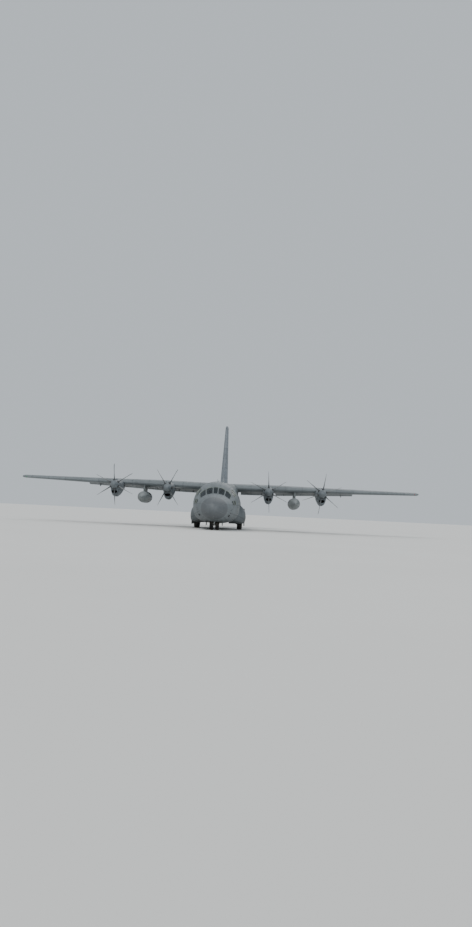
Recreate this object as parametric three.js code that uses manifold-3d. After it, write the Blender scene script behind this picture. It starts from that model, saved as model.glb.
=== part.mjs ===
// A four-engined, high-wing military transport aeroplane with six-bladed propellers, at half size.
// It stands on its wheels with its nose towards -Y and its port side at +X. The origin is on the ground,
// at the middle of its length and span. Tables hold sizes of the full-size aeroplane in metres.
import * as THREE from "three";
import { mergeVertices } from "three/addons/utils/BufferGeometryUtils.js";
import Module from "manifold-3d";

const wasm = await Module();
wasm.setup();

// Driving dimensions
const m = 500; // millimetres of this half-size model for each metre of the full-size aeroplane
const LENGTH = 29.79;
const HEIGHT = 11.84;
const SEAT_GAP = 0.4; // mm between a piece and what it rests on
const RUNNING_GAP = 0.012; // metres of the full-size aeroplane, 6 mm here, round every moving panel
const HINGE_ROOM = 0.014; // metres round the rounded nose of a control surface
const PIN = 8; // mm, radius of hinge pins
const PIN_FIT = 0.5; // mm, clearance round a hinge pin
const DEGREE = Math.PI / 180;
const SIDES = [["port", 1], ["starboard", -1]];

// Fuselage sections: s metres behind the nose tip, half-width, height of the widest line, top and bottom
// heights, and the fullness of the lower half, which is 2 for an ellipse and more for a flatter belly
const FUSELAGE = [
  { s: 0, half: 0.03, mid: 1.95, top: 1.98, bottom: 1.92, full: 2 },
  { s: 0.1, half: 0.34, mid: 1.94, top: 2.27, bottom: 1.62, full: 2 },
  { s: 0.35, half: 0.64, mid: 1.94, top: 2.54, bottom: 1.36, full: 2 },
  { s: 0.8, half: 0.95, mid: 1.97, top: 2.8, bottom: 1.13, full: 2.1 },
  { s: 1.7, half: 1.39, mid: 2.03, top: 3.1, bottom: 0.9, full: 2.2 },
  { s: 2.3, half: 1.62, mid: 2.1, top: 3.27, bottom: 0.8, full: 2.3 },
  { s: 3.25, half: 1.88, mid: 2.2, top: 4.02, bottom: 0.72, full: 2.5 },
  { s: 3.75, half: 1.99, mid: 2.25, top: 4.3, bottom: 0.68, full: 2.7 },
  { s: 4.4, half: 2.09, mid: 2.3, top: 4.46, bottom: 0.64, full: 2.75 },
  { s: 5.4, half: 2.16, mid: 2.36, top: 4.52, bottom: 0.62, full: 2.8 },
  { s: 18, half: 2.16, mid: 2.36, top: 4.52, bottom: 0.62, full: 2.8 },
  { s: 18.6, half: 2.15, mid: 2.4, top: 4.52, bottom: 0.9, full: 3 },
  { s: 19.6, half: 2.1, mid: 2.58, top: 4.52, bottom: 1.38, full: 3.2 },
  { s: 21.1, half: 1.98, mid: 2.95, top: 4.53, bottom: 2.1, full: 3.5 },
  { s: 23.4, half: 1.65, mid: 3.45, top: 4.56, bottom: 2.92, full: 3.5 },
  { s: 25.7, half: 1.22, mid: 3.98, top: 4.6, bottom: 3.7, full: 3.2 },
  { s: 27.5, half: 0.82, mid: 4.28, top: 4.64, bottom: 4.02, full: 3 },
  { s: 29, half: 0.42, mid: 4.46, top: 4.66, bottom: 4.24, full: 2.6 },
  { s: 29.6, half: 0.2, mid: 4.5, top: 4.6, bottom: 4.4, full: 2.2 },
  { s: LENGTH, half: 0.04, mid: 4.5, top: 4.53, bottom: 4.47, full: 2 },
];
const RING = 24; // points round a fuselage section
const SKIN = 0.1; // thickness of the fuselage wall with its frames
const RADOME_END = 1.7;
const CAVITY = [1.78, 26.2]; // the hollow runs from the radar bulkhead to behind the cargo door
const HOLD_FLOOR = 1.03;
const HOLD_END = 17.86; // the floor stops just ahead of the ramp's hinge
const UNDERFLOOR = 0.92; // height of the hollow's lowest face
const SPLITS = [RADOME_END, 5.6, 17.55, LENGTH + 1]; // where the fuselage sections are joined

// Windscreen and side windows: stations and angles above the widest line, seen from the port side
const WINDOWS = [
  { from: 2.42, to: 3.16, low: 84, high: 96 },
  { from: 2.42, to: 3.16, low: 62, high: 81 },
  { from: 2.42, to: 3.16, low: 38, high: 59 },
  { from: 3.34, to: 3.86, low: 26, high: 46 },
  { from: 3.96, to: 4.42, low: 26, high: 46 },
  { from: 2.5, to: 2.9, low: 10, high: 24 },
  { from: 3.0, to: 3.42, low: 6, high: 19 },
];
const GLASS = 0.024;

// Doors
const CREW_DOOR = { from: 4.05, to: 4.81, sill: 1.03, head: 2.18, hinge: 1.07, gap: 0.03 };
const TROOP_DOOR = { from: 16.5, to: 17.41, sill: 1.05, head: 2.88 };
// The ramp's front face turns inside the swing radius about its hinge
const RAMP = { hingeS: 18, hingeZ: 1, end: 21.06, half: 1.53, swing: 0.36 };
const CARGO_DOOR = { start: 21.12, hingeS: 25.62, hingeZ: 3.79, half: 1.5, endHalf: 0.84, depth: 0.16 };

// Wing: chords, the spanwise break, leading edge station and middle height at the root
const WING = {
  rootChord: 4.88, tipChord: 2.49, break: 5.59, half: 20.205, nose: 11.35, middle: 4.11,
  rise: Math.tan(0.75 * DEGREE), rootThick: 0.172, tipThick: 0.12, rootSet: 3, camber: 0.022,
};
const CHORD_SHARES = [1, 0.86, 0.7, 0.5, 0.32, 0.18, 0.08, 0.022, 0];
// Trailing edge panels: span limits and the hinge or slot line as a share of the chord
const FLAPS = [
  { name: "inner_flap", from: 2.12, to: 5.5, share: 0.73, arms: [2.8, 4.3] },
  { name: "outer_flap", from: 5.7, to: 13.7, share: 0.73, arms: [6.64, 12.5] },
];
const FLAP_REST = 15; // degrees down as it stands
const FLAP_END_GAP = 12; // mm between a flap's ends and the wing
const FLAP_PIVOT = { share: 0.755, drop: 0.44 };
const AILERON = { from: 13.84, to: 19.5, share: 0.76 };

// Engines and propellers
const ENGINES = [["inner", 4.95, 3.84], ["outer", 10.16, 3.91]];
const PROPELLER = { station: 8.42, radius: 2.055, back: 8.7, tip: 7.8, shaft: 0.1 };
const BLADE_ANGLES = { port_inner: -3, port_outer: 9.5, starboard_inner: 27, starboard_outer: 56 };
// Nacelle sections: s, half-width, and heights above and below the propeller shaft
const NACELLE = [
  { s: 8.725, half: 0.42, up: 0.42, down: 1, full: 2.1 },
  { s: 9.1, half: 0.47, up: 0.47, down: 1.15, full: 2.2 },
  { s: 10, half: 0.5, up: 0.54, down: 1.18, full: 2.2 },
  { s: 11.3, half: 0.52, up: 0.62, down: 1.02, full: 2.1 },
  { s: 12.3, half: 0.48, up: 0.5, down: 0.76, full: 2 },
  { s: 13.4, half: 0.38, up: 0.2, down: 0.48, full: 2 },
  { s: 14.5, half: 0.22, up: 0.05, down: 0.24, full: 2 },
];
// Blade sections from root to tip, feathered: radius, chord, thickness and rearward sweep
const BLADE = [
  { r: 0.3, chord: 0.17, thick: 0.16, sweep: 0 },
  { r: 0.62, chord: 0.25, thick: 0.1, sweep: 0 },
  { r: 1.05, chord: 0.37, thick: 0.06, sweep: -0.02 },
  { r: 1.55, chord: 0.37, thick: 0.038, sweep: 0 },
  { r: 1.9, chord: 0.27, thick: 0.024, sweep: 0.08 },
  { r: 2.055, chord: 0.1, thick: 0.014, sweep: 0.17 },
];

// Underwing fuel tanks: a turned body and its pylon
const TANK = { x: 7.62, z: 2.85, from: 9.4, to: 17, radius: 0.58 };
const TANK_PROFILE = [[0, 0.02], [0.03, 0.3], [0.1, 0.65], [0.22, 0.94], [0.34, 1], [0.62, 1], [0.8, 0.78],
  [0.93, 0.38], [1, 0.03]];
const PYLON = { half: 0.17, from: 11.7, to: 14.64 };

// Tail
const STABILISER = { root: [24.85, 29], tip: [25.95, 28], half: 8.025, z: 4.62, thick: 0.11 };
const ELEVATOR = { from: 0.86, to: 7.75, rootHinge: 27.75, tipHinge: 27.2 };
const FIN = { root: [23, 28.9], tip: [26.15, 28.55], rootZ: 4.5, tipZ: 11.62, thick: 0.15 };
// The rudder's half thickness at its hinge is radius at the fin's root and taper less at its tip
const RUDDER = { low: 5.3, high: 11.45, lowHinge: 27.55, highHinge: 27.85, radius: 0.224, taper: 0.115 };

// Undercarriage
const MAIN_WHEEL = { radius: 0.71, width: 0.508, x: 2.175, stations: [["front", 12.44], ["rear", 13.96]] };
const MAIN_WELL = { in: 1.665, out: 2.64, from: 11.55, to: 14.85, top: 1.62 };
const MAIN_LEG = { x: 1.79, radius: 0.095, axle: 0.06 };
const NOSE_WHEEL = { radius: 0.495, width: 0.33, x: 0.27, station: 3.43 };
const NOSE_WELL = { half: 0.72, from: 2.72, to: 4.14, top: 1.52 };
const HOUSING = 0.08; // wall of the wheel wells inside the fuselage
const SPONSON = [[1.1, 0.58], [2.45, 0.58], [2.7, 0.76], [2.78, 1.25], [2.7, 1.85], [2.38, 2.32], [1.9, 2.62], [1.1, 2.62]];
// Sponson fullness along its length: s and the share of the full section
const SPONSON_SHARE = [[9.3, 0.25], [9.8, 0.6], [10.6, 0.9], [11.3, 1], [15.05, 1], [15.6, 0.85], [16.1, 0.55], [16.38, 0.28]];
const SPONSON_CORE = [1.3, 1.35]; // the point that the end sections shrink towards
const TYRE_FACETS = 20;

const at = (s) => (s - LENGTH / 2) * m;
const point = (x, s, z) => new THREE.Vector3(x * m, at(s), z * m);

// A solid for joining and cutting, from a closed three.js geometry
function solid(geometry) {
  const bare = geometry.index ? geometry.toNonIndexed() : geometry;
  const merged = mergeVertices(new THREE.BufferGeometry().setAttribute("position", bare.getAttribute("position")), 1e-3);
  const triVerts = new Uint32Array(merged.index.array);
  const vertProperties = merged.attributes.position.array;
  const made = new wasm.Manifold(new wasm.Mesh({ numProp: 3, vertProperties, triVerts }));
  if (made.volume() > 0) return made;
  for (let i = 0; i < triVerts.length; i += 3) [triVerts[i + 1], triVerts[i + 2]] = [triVerts[i + 2], triVerts[i + 1]];
  return new wasm.Manifold(new wasm.Mesh({ numProp: 3, vertProperties, triVerts }));
}

// A closed skin over rings of equal counts of points, with flat ends
function loft(rings) {
  const count = rings[0].length;
  const points = rings.flat();
  const faces = [];
  for (let r = 0; r + 1 < rings.length; r++)
    for (let i = 0; i < count; i++) {
      const a = r * count + i;
      const b = r * count + ((i + 1) % count);
      faces.push(a, b, a + count, b, b + count, a + count);
    }
  for (const [ring, first] of [[rings[0], 0], [rings.at(-1), points.length - count]]) {
    const middle = points.length;
    points.push(ring.reduce((sum, p) => sum.add(p), new THREE.Vector3()).divideScalar(count));
    for (let i = 0; i < count; i++) {
      const edge = [first + i, first + ((i + 1) % count)];
      faces.push(...(first ? [edge[0], edge[1], middle] : [edge[1], edge[0], middle]));
    }
  }
  return solid(new THREE.BufferGeometry().setFromPoints(points).setIndex(faces));
}

// A block between limits in x, station and height
function block([x0, x1], [s0, s1], [z0, z1]) {
  const geometry = new THREE.BoxGeometry((x1 - x0) * m, (s1 - s0) * m, (z1 - z0) * m);
  return solid(geometry.translate(((x0 + x1) / 2) * m, at((s0 + s1) / 2), ((z0 + z1) / 2) * m));
}

// A flat outline swept from one depth to another; place turns outline and depth into x, s and z
function sweep(outline, place, from, to) {
  const shape = new THREE.Shape(outline.map(([a, b]) => new THREE.Vector2(a, b)));
  const geometry = new THREE.ExtrudeGeometry(shape, { depth: to - from, bevelEnabled: false });
  const position = geometry.getAttribute("position");
  for (let i = 0; i < position.count; i++) {
    const moved = place(position.getX(i), position.getY(i), from + position.getZ(i));
    position.setXYZ(i, moved.x, moved.y, moved.z);
  }
  return solid(geometry);
}
const alongX = (s, z, x) => point(x, s, z);
const alongZ = (x, s, z) => point(x, s, z);

// A round bar between two points, in mm
function rod(start, end, startRadius, endRadius = startRadius, sides = 12) {
  const direction = end.clone().sub(start);
  const geometry = new THREE.CylinderGeometry(endRadius, startRadius, direction.length(), sides);
  geometry.applyQuaternion(new THREE.Quaternion().setFromUnitVectors(new THREE.Vector3(0, 1, 0), direction.normalize()));
  const middle = start.clone().add(end).multiplyScalar(0.5);
  return solid(geometry.translate(middle.x, middle.y, middle.z));
}

// A turned solid about the X axis: points of along and radius, closed on the axis or on themselves
function turned(profile, sides) {
  const geometry = new THREE.LatheGeometry(profile.map(([along, radius]) => new THREE.Vector2(radius, along)), sides);
  return solid(geometry.rotateY(Math.PI / sides).rotateZ(-Math.PI / 2));
}

const largest = (made) => made.decompose().sort((a, b) => b.volume() - a.volume())[0];
const join = (parts) => parts.reduce((sum, part) => sum.add(part));

// Materials
const paint = (color, roughness = 0.62) => new THREE.MeshStandardMaterial({ color, roughness, metalness: 0.15 });
const GREY = paint(0x6f787b);
const BELLY = paint(0x697174);
const RADOME = paint(0x5a6164, 0.7);
const BLADE_PAINT = paint(0x3c4042, 0.5);
const INTERIOR = paint(0x8a9088, 0.75);
const SEAT = new THREE.MeshStandardMaterial({ color: 0x3b4034, roughness: 0.9, metalness: 0 });
const TYRE = new THREE.MeshStandardMaterial({ color: 0x1d1e1f, roughness: 0.9, metalness: 0 });
const METAL = new THREE.MeshStandardMaterial({ color: 0xb6b9ba, roughness: 0.35, metalness: 0.8 });
const WHEEL = new THREE.MeshStandardMaterial({ color: 0xa6aaab, roughness: 0.5, metalness: 0.3 });
const PANE = new THREE.MeshStandardMaterial({ color: 0x2a3338, roughness: 0.1, metalness: 0, transparent: true, opacity: 0.55 });

const aeroplane = new THREE.Group();

// Adds a solid to the model as one named mesh; origin is where its own axes stand
function add(name, made, material, origin = new THREE.Vector3(), parent = aeroplane) {
  const { numProp, vertProperties, triVerts } = made.getMesh();
  const positions = new Float32Array((vertProperties.length / numProp) * 3);
  for (let i = 0; i * numProp < vertProperties.length; i++)
    positions.set([
      vertProperties[i * numProp] - origin.x,
      vertProperties[i * numProp + 1] - origin.y,
      vertProperties[i * numProp + 2] - origin.z,
    ], i * 3);
  const geometry = new THREE.BufferGeometry();
  geometry.setAttribute("position", new THREE.BufferAttribute(positions, 3));
  geometry.setIndex(new THREE.BufferAttribute(new Uint32Array(triVerts), 1));
  geometry.computeVertexNormals();
  const mesh = new THREE.Mesh(geometry, material);
  mesh.name = name;
  if (parent === aeroplane) mesh.position.copy(origin);
  parent.add(mesh);
  return mesh;
}

// Fuselage shapes

function fuselageShape(s) {
  const after = Math.max(1, FUSELAGE.findIndex((row) => row.s >= s));
  const [a, b] = [FUSELAGE[after - 1], FUSELAGE[after]];
  const share = (s - a.s) / (b.s - a.s);
  return Object.fromEntries(Object.keys(a).map((key) => [key, a[key] + share * (b[key] - a[key])]));
}

// A point of the skin at a station and an angle above the widest line; inset moves it inwards, in mm
function skinPoint(s, angle, inset = 0) {
  const { half, mid, top, bottom, full } = fuselageShape(s);
  const lower = Math.sin(angle) < -1e-9;
  const power = lower ? 2 / full : 1;
  const across = Math.sign(Math.cos(angle)) * Math.abs(Math.cos(angle)) ** power;
  const up = Math.sign(Math.sin(angle)) * Math.abs(Math.sin(angle)) ** power;
  const height = (lower ? mid - bottom : top - mid) * m - inset;
  return new THREE.Vector3(across * (half * m - inset), at(s), mid * m + up * height);
}

function fuselageLoft(from, to, inset) {
  const stations = [from, ...FUSELAGE.map((row) => row.s).filter((s) => s > from && s < to), to];
  const angles = Array.from({ length: RING }, (_, i) => (2 * Math.PI * i) / RING);
  return loft(stations.map((s) => angles.map((angle) => skinPoint(s, angle, inset))));
}

// The hollow inside the fuselage, drawn in by extra mm
function hollow(extra = 0) {
  const wells = SIDES.map(([, sign]) => spanBlock(sign, MAIN_WELL.in - HOUSING, 3,
    [MAIN_WELL.from - HOUSING, MAIN_WELL.to + HOUSING], [0, MAIN_WELL.top + HOUSING]));
  const half = NOSE_WELL.half + HOUSING;
  const noseWell = block([-half, half], [NOSE_WELL.from - HOUSING, NOSE_WELL.to + HOUSING], [0, NOSE_WELL.top + HOUSING]);
  const lift = extra / m;
  return fuselageLoft(CAVITY[0] + lift, CAVITY[1] - lift, SKIN * m + extra)
    .intersect(block([-3, 3], CAVITY, [UNDERFLOOR + lift, 6]))
    .subtract(noseWell)
    .subtract(join(wells));
}

// The solid behind one window, from inside the wall to outside the skin
function windowCutter({ from, to, low, high }) {
  const angles = [low, (low + high) / 2, high].map((degrees) => degrees * DEGREE);
  const inner = 2 * SKIN * m;
  const outer = -SKIN * m;
  return loft([from, (from + to) / 2, to].map((s) => [
    ...angles.map((angle) => skinPoint(s, angle, outer)),
    ...angles.toReversed().map((angle) => skinPoint(s, angle, inner)),
  ]));
}

const grown = SEAT_GAP; // mm by which a cutter stands proud of the piece it makes room for
const outerSkin = fuselageLoft(0, LENGTH, 0);
const skinCutter = fuselageLoft(0, LENGTH, -grown);
const cabin = hollow();
const cabinFit = hollow(grown);

// Wing shapes

function wingAt(x) {
  const share = Math.max(0, (Math.abs(x) - WING.break) / (WING.half - WING.break));
  const chord = WING.rootChord + share * (WING.tipChord - WING.rootChord);
  return {
    chord,
    nose: WING.nose + (WING.rootChord - chord) * 0.25,
    thick: WING.rootThick + share * (WING.tipThick - WING.rootThick),
    set: WING.rootSet * (1 - share) * DEGREE,
    z: WING.middle + WING.rise * Math.abs(x),
  };
}

// Half-thickness of a wing section at a share of its chord
function halfThickness(share, thick) {
  const root = 0.2969 * Math.sqrt(share);
  return 5 * thick * (root - 0.126 * share - 0.3516 * share ** 2 + 0.2843 * share ** 3 - 0.1036 * share ** 4);
}

// A point of the wing section at x, a share of the chord back and a height in metres from the camber line
function wingPoint(x, share, height) {
  const { chord, nose, set, z } = wingAt(x);
  const back = (share - 0.25) * chord;
  const up = 4 * WING.camber * share * (1 - share) * chord + height;
  const s = nose + 0.25 * chord + back * Math.cos(set) + up * Math.sin(set);
  return point(x, s, z - back * Math.sin(set) + up * Math.cos(set));
}

const EDGE = 0.012; // least half-thickness, at the trailing edge
function wingRing(x, grow = 0, shrink = 1) {
  const { chord, thick } = wingAt(x);
  const extra = grow / m;
  const side = (sign) => CHORD_SHARES.map((share) => {
    const half = share ? Math.max(EDGE, halfThickness(share, thick) * chord * shrink) : 0;
    const reach = share === 1 ? 1 + extra / chord : share === 0 ? -extra / chord : share;
    const drawn = 0.4 + (reach - 0.4) * (0.4 + 0.6 * shrink);
    return wingPoint(x, drawn, share ? sign * (half + extra) : 0);
  });
  return [...side(1), ...side(-1).slice(0, -1).toReversed()];
}

function wingLoft(stations, grow = 0) {
  const ordered = stations.toSorted((a, b) => a[0] - b[0]);
  return loft(ordered.map(([x, shrink]) => wingRing(x, grow, shrink)));
}

// Stations of an outer wing: distance from the middle and share of the full section
const OUTER_WING = [[9.6, 1], [13.77, 1], [WING.half - 0.4, 1], [WING.half - 0.12, 0.8], [WING.half, 0.35]];
const fullStations = [WING.break, ...OUTER_WING.slice(0, 3).map(([x]) => x)];
const wingCutter = wingLoft([0, ...fullStations, ...fullStations.map((x) => -x)].map((x) => [x, 1]), grown);

// A block along a hinge line, in mm: past its ends by extra, and from ahead of the line to behind it
function lineBlock([start, end], extra, ahead, behind) {
  const along = end.clone().sub(start);
  const x = along.clone().normalize();
  const y = new THREE.Vector3(0, 1, 0).addScaledVector(x, -x.y).normalize();
  const z = x.clone().cross(y);
  const geometry = new THREE.BoxGeometry(along.length() + 2 * extra, ahead + behind, 3 * m);
  geometry.translate(along.length() / 2, (behind - ahead) / 2, 0);
  return solid(geometry.applyMatrix4(new THREE.Matrix4().makeBasis(x, y, z).setPosition(start)));
}

// Pins at both ends of a hinge line, reaching outwards into the parent and inwards into the panel, with their holes
function hingePins([start, end], outwards, inwards) {
  const along = end.clone().sub(start).normalize();
  return [[start, 1], [end, -1]].map(([tip, sign]) => {
    const bar = (radius, deep) => rod(
      tip.clone().addScaledVector(along, -sign * outwards), tip.clone().addScaledVector(along, sign * deep), radius, radius, 12);
    return { pin: bar(PIN, inwards), hole: bar(PIN + PIN_FIT, inwards + 2) };
  });
}

// A hinged trailing panel cut from a wing or tail: the panel, and a function that cuts its room from the parent.
// The axis runs through the panel's rounded nose, and both ends lie square to it.
function hingedPanel(whole, [start, end], [startRadius, endRadius], room) {
  const gap = RUNNING_GAP * m;
  const region = { body: lineBlock([start, end], 0, 0, 3 * m), band: lineBlock([start, end], 0, m, 3 * m) };
  const wider = { body: lineBlock([start, end], gap, 0, 3 * m), band: lineBlock([start, end], gap, m, 3 * m) };
  const along = end.clone().sub(start).normalize();
  const reach = along.clone().multiplyScalar(0.3 * m);
  const nose = rod(start.clone().sub(reach), end.clone().add(reach), startRadius, endRadius, 16);
  const cove = rod(start.clone().sub(reach), end.clone().add(reach), startRadius + room, endRadius + room, 16);
  const pins = hingePins([start, end], 45, 22);
  const panel = whole.intersect(region.body.add(nose.intersect(region.band)));
  const cut = wider.body.add(cove.intersect(wider.band));
  return {
    panel: largest(panel.subtract(join(pins.map(({ hole }) => hole)))),
    cutFrom: (parent) => parent.subtract(cut).add(join(pins.map(({ pin }) => pin))),
  };
}

// Fuselage and its doors

function spanBlock(sign, near, far, stations, heights) {
  return block([near * sign, far * sign].sort((a, b) => a - b), stations, heights);
}

function cabinDoor({ from, to, sill, head }, sign, gap, sillGap = gap) {
  return spanBlock(sign, 1.2, 3, [from + gap, to - gap], [sill + sillGap, head - gap]);
}

const shellWithWells = () => {
  const nose = block([-NOSE_WELL.half, NOSE_WELL.half], [NOSE_WELL.from, NOSE_WELL.to], [0, NOSE_WELL.top]);
  const mains = SIDES.map(([, sign]) => spanBlock(
    sign, MAIN_WELL.in, 3, [MAIN_WELL.from, MAIN_WELL.to], [0, MAIN_WELL.top]));
  return outerSkin.subtract(cabin).subtract(nose).subtract(join(mains)).subtract(wingCutter);
};
const wall = shellWithWells();
const mirrored = (row) => ({ ...row, low: 180 - row.high, high: 180 - row.low });
const panes = WINDOWS.flatMap((row) => (row.low === 84 ? [row] : [row, mirrored(row)]));
const windowHoles = join(panes.map(windowCutter));
const troopGap = grown / m;

// Cargo ramp: a side outline between its floor line and below the skin, hinged at the end of the hold floor
const rampOutline = (front, behind, raise) => [
  [RAMP.hingeS + front, 0],
  [RAMP.end + 1 + behind, 0],
  [RAMP.end + 0.01 + behind, 2.08],
  [RAMP.end - 0.05 + behind, 2.34 + raise],
  [RAMP.hingeS + 0.02, HOLD_FLOOR + raise],
  [RAMP.hingeS + front, HOLD_FLOOR + raise],
];
const hingeLine = (half) => [point(-half, RAMP.hingeS, RAMP.hingeZ), point(half, RAMP.hingeS, RAMP.hingeZ)];
const rampFront = (extra) => rod(...hingeLine(RAMP.half + extra), (RAMP.swing + extra) * m, (RAMP.swing + extra) * m, 36);
const rampRoom = rampFront(RUNNING_GAP);
const rampBody = outerSkin.intersect(sweep(rampOutline(-0.04, 0, 0), alongX, -RAMP.half, RAMP.half))
  .subtract(block([-2, 2], [RAMP.hingeS - 0.1, RAMP.hingeS + 0.15], [0, RAMP.hingeZ]).subtract(rampFront(0)));

// Upper cargo door: hinged across its rear end, it swings up inside the tail
const doorPlan = (gap) => [
  [-CARGO_DOOR.half - gap, CARGO_DOOR.start - gap], [CARGO_DOOR.half + gap, CARGO_DOOR.start - gap],
  [CARGO_DOOR.endHalf + gap, CARGO_DOOR.hingeS + 0.03 + 3 * gap],
  [-CARGO_DOOR.endHalf - gap, CARGO_DOOR.hingeS + 0.03 + 3 * gap],
];
const doorUnder = fuselageLoft(20.8, 26, CARGO_DOOR.depth * m);
const cargoDoorBody = outerSkin.intersect(sweep(doorPlan(0), alongZ, 1.5, 4.1)).subtract(doorUnder)
  .intersect(block([-3, 3], [20, 26], [0, 4]));
const rearOpening = join([
  sweep(rampOutline(0, 0.02, 0.2), alongX, -RAMP.half - RUNNING_GAP, RAMP.half + RUNNING_GAP)
    .intersect(block([-3, 3], [RAMP.hingeS - 0.1, CARGO_DOOR.start + 0.02], [0, 2.6])),
  sweep(doorPlan(RUNNING_GAP), alongZ, 1.5, 3.95).intersect(block([-3, 3], [21, 26], [0, 3.95])),
]);

const rampPins = hingePins(hingeLine(RAMP.half), 60, 22);
const cargoHinge = [-1, 1].map((sign) => point(sign * (CARGO_DOOR.endHalf + 0.01), CARGO_DOOR.hingeS, CARGO_DOOR.hingeZ));
const cargoPins = hingePins(cargoHinge, 60, 22);

// Crew door: hinged along its lower edge, just inside the skin
const crewHinge = [CREW_DOOR.from, CREW_DOOR.to].map((s) => {
  const { half, mid, bottom, full } = fuselageShape(s);
  const x = half * (1 - ((mid - CREW_DOOR.hinge) / (mid - bottom)) ** full) ** (1 / full) - 0.02;
  return point(x, s, CREW_DOOR.hinge);
});
const crewPins = hingePins(crewHinge, 22, 24 + CREW_DOOR.gap * m);

const section = (i) => block([-3, 3], [SPLITS[i] + grown / m / 2, SPLITS[i + 1] - grown / m / 2], [0, 8]);
add("nose_radome", outerSkin.intersect(block([-3, 3], [-0.1, RADOME_END - grown / m / 2], [0, 6])), RADOME);
const forward = wall.intersect(section(0)).subtract(windowHoles);
// Bay of the nose wheels: the belly on both sides of the well with the well's own walls
const bayRoom = (gap) => {
  const half = NOSE_WELL.half + HOUSING;
  const ends = [NOSE_WELL.from - HOUSING - gap, NOSE_WELL.to + HOUSING + gap];
  return block([-3, 3], ends, [0, UNDERFLOOR + gap]).add(block([-half, half], ends, [0, NOSE_WELL.top + HOUSING + gap]));
};
add("nose_wheel_bay", largest(forward.intersect(bayRoom(0))), GREY);
add("forward_fuselage",
  largest(forward.subtract(bayRoom(grown / m)).subtract(cabinDoor(CREW_DOOR, 1, 0, -0.015))
    .add(join(crewPins.map(({ pin }) => pin)))), GREY);
add("crew_door",
  largest(forward.intersect(cabinDoor(CREW_DOOR, 1, CREW_DOOR.gap, 0.02)).subtract(join(crewPins.map(({ hole }) => hole)))), GREY);
const centre = wall.intersect(section(1));
add("centre_fuselage", largest(centre.subtract(join(SIDES.map(([, sign]) => cabinDoor(TROOP_DOOR, sign, 0))))), GREY);
for (const [side, sign] of SIDES)
  add(`troop_door_${side}`, largest(centre.intersect(cabinDoor(TROOP_DOOR, sign, troopGap))), GREY);

// Tail surfaces

function tailRing(place, nose, tail, thick, grow = 0, shrink = 1) {
  const chord = tail - nose;
  const shares = [1, 0.8, 0.55, 0.3, 0.12, 0.03, 0];
  const side = (sign) => shares.map((share) => {
    const half = share ? Math.max(EDGE, halfThickness(share, thick) * chord * shrink) + grow / m : 0;
    const reach = share === 1 ? 1 + grow / m / chord : share === 0 ? -grow / m / chord : share;
    return place(nose + chord * (0.4 + (reach - 0.4) * (0.4 + 0.6 * shrink)), sign * half);
  });
  return [...side(1), ...side(-1).slice(0, -1).toReversed()];
}

const TAIL_HOLLOW = 0.76; // share of a tail section's thickness that is hollow
const stabiliserRows = [[-1, 0.3], [-0.985, 0.75], [-0.955, 1], [0, 1], [0.955, 1], [0.985, 0.75], [1, 0.3]];
const stabiliserCore = [[-0.93, TAIL_HOLLOW], [0, TAIL_HOLLOW], [0.93, TAIL_HOLLOW]];
function stabiliserLoft(grow, rows = stabiliserRows) {
  return loft(rows.map(([out, shrink]) => {
    const share = Math.abs(out);
    const nose = STABILISER.root[0] + share * (STABILISER.tip[0] - STABILISER.root[0]);
    const tail = STABILISER.root[1] + share * (STABILISER.tip[1] - STABILISER.root[1]);
    const place = (s, height) => point(out * STABILISER.half, s, STABILISER.z + height);
    return tailRing(place, nose, tail, STABILISER.thick, grow, shrink);
  }));
}

const finRows = [[0, 1], [0.97, 1], [0.99, 0.85], [1.02, 0.6], [(HEIGHT - FIN.rootZ) / (FIN.tipZ - FIN.rootZ), 0.2]];
const finCore = [[-0.02, TAIL_HOLLOW], [0.93, TAIL_HOLLOW]];
function finLoft(rows = finRows) {
  return loft(rows.map(([share, shrink]) => {
    const nose = FIN.root[0] + share * (FIN.tip[0] - FIN.root[0]);
    const tail = FIN.root[1] + share * (FIN.tip[1] - FIN.root[1]);
    const place = (s, across) => point(across, s, FIN.rootZ + share * (FIN.tipZ - FIN.rootZ));
    return tailRing(place, nose, tail, FIN.thick, 0, shrink);
  }));
}

const stabiliserWhole = stabiliserLoft(0);
const SPAR = 0.24; // metres of solid ahead of an elevator's or the rudder's hinge line
const elevatorLine = (x) => ELEVATOR.rootHinge + (Math.abs(x) / STABILISER.half) * (ELEVATOR.tipHinge - ELEVATOR.rootHinge);
const stabiliserHollow = stabiliserLoft(0, stabiliserCore).intersect(sweep([
  [-8, 24], [8, 24], ...[8, 0, -8].map((x) => [x, elevatorLine(x) - SPAR])], alongZ, 4, 5.3));
const stabiliserAccess = block([-0.15, 0.15], [25.5, 25.9], [4, STABILISER.z]); // opens into the hollow of the tail
const stabiliserCutter = stabiliserLoft(grown);
let stabiliser = stabiliserWhole.subtract(stabiliserHollow).subtract(stabiliserAccess);
for (const [side, sign] of SIDES) {
  const axis = [ELEVATOR.from, ELEVATOR.to].map((x) => point(x * sign, elevatorLine(x), STABILISER.z));
  const { panel, cutFrom } = hingedPanel(stabiliserWhole, axis, [0.145 * m, 0.089 * m], HINGE_ROOM * m);
  stabiliser = cutFrom(stabiliser);
  add(`elevator_${side}`, panel, GREY, axis[0]);
}
add("stabiliser", largest(stabiliser), GREY);

// Rear fuselage, after the stabiliser that passes through its top
const rear = wall.intersect(section(2)).subtract(stabiliserCutter);
add("rear_fuselage", largest(rear.subtract(rampRoom).subtract(rearOpening)
  .add(join([...rampPins, ...cargoPins].map(({ pin }) => pin)))), GREY);
add("cargo_ramp", largest(rampBody.subtract(join(rampPins.map(({ hole }) => hole)))), GREY);
add("cargo_door", largest(cargoDoorBody.subtract(join(cargoPins.map(({ hole }) => hole)))), GREY);

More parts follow.
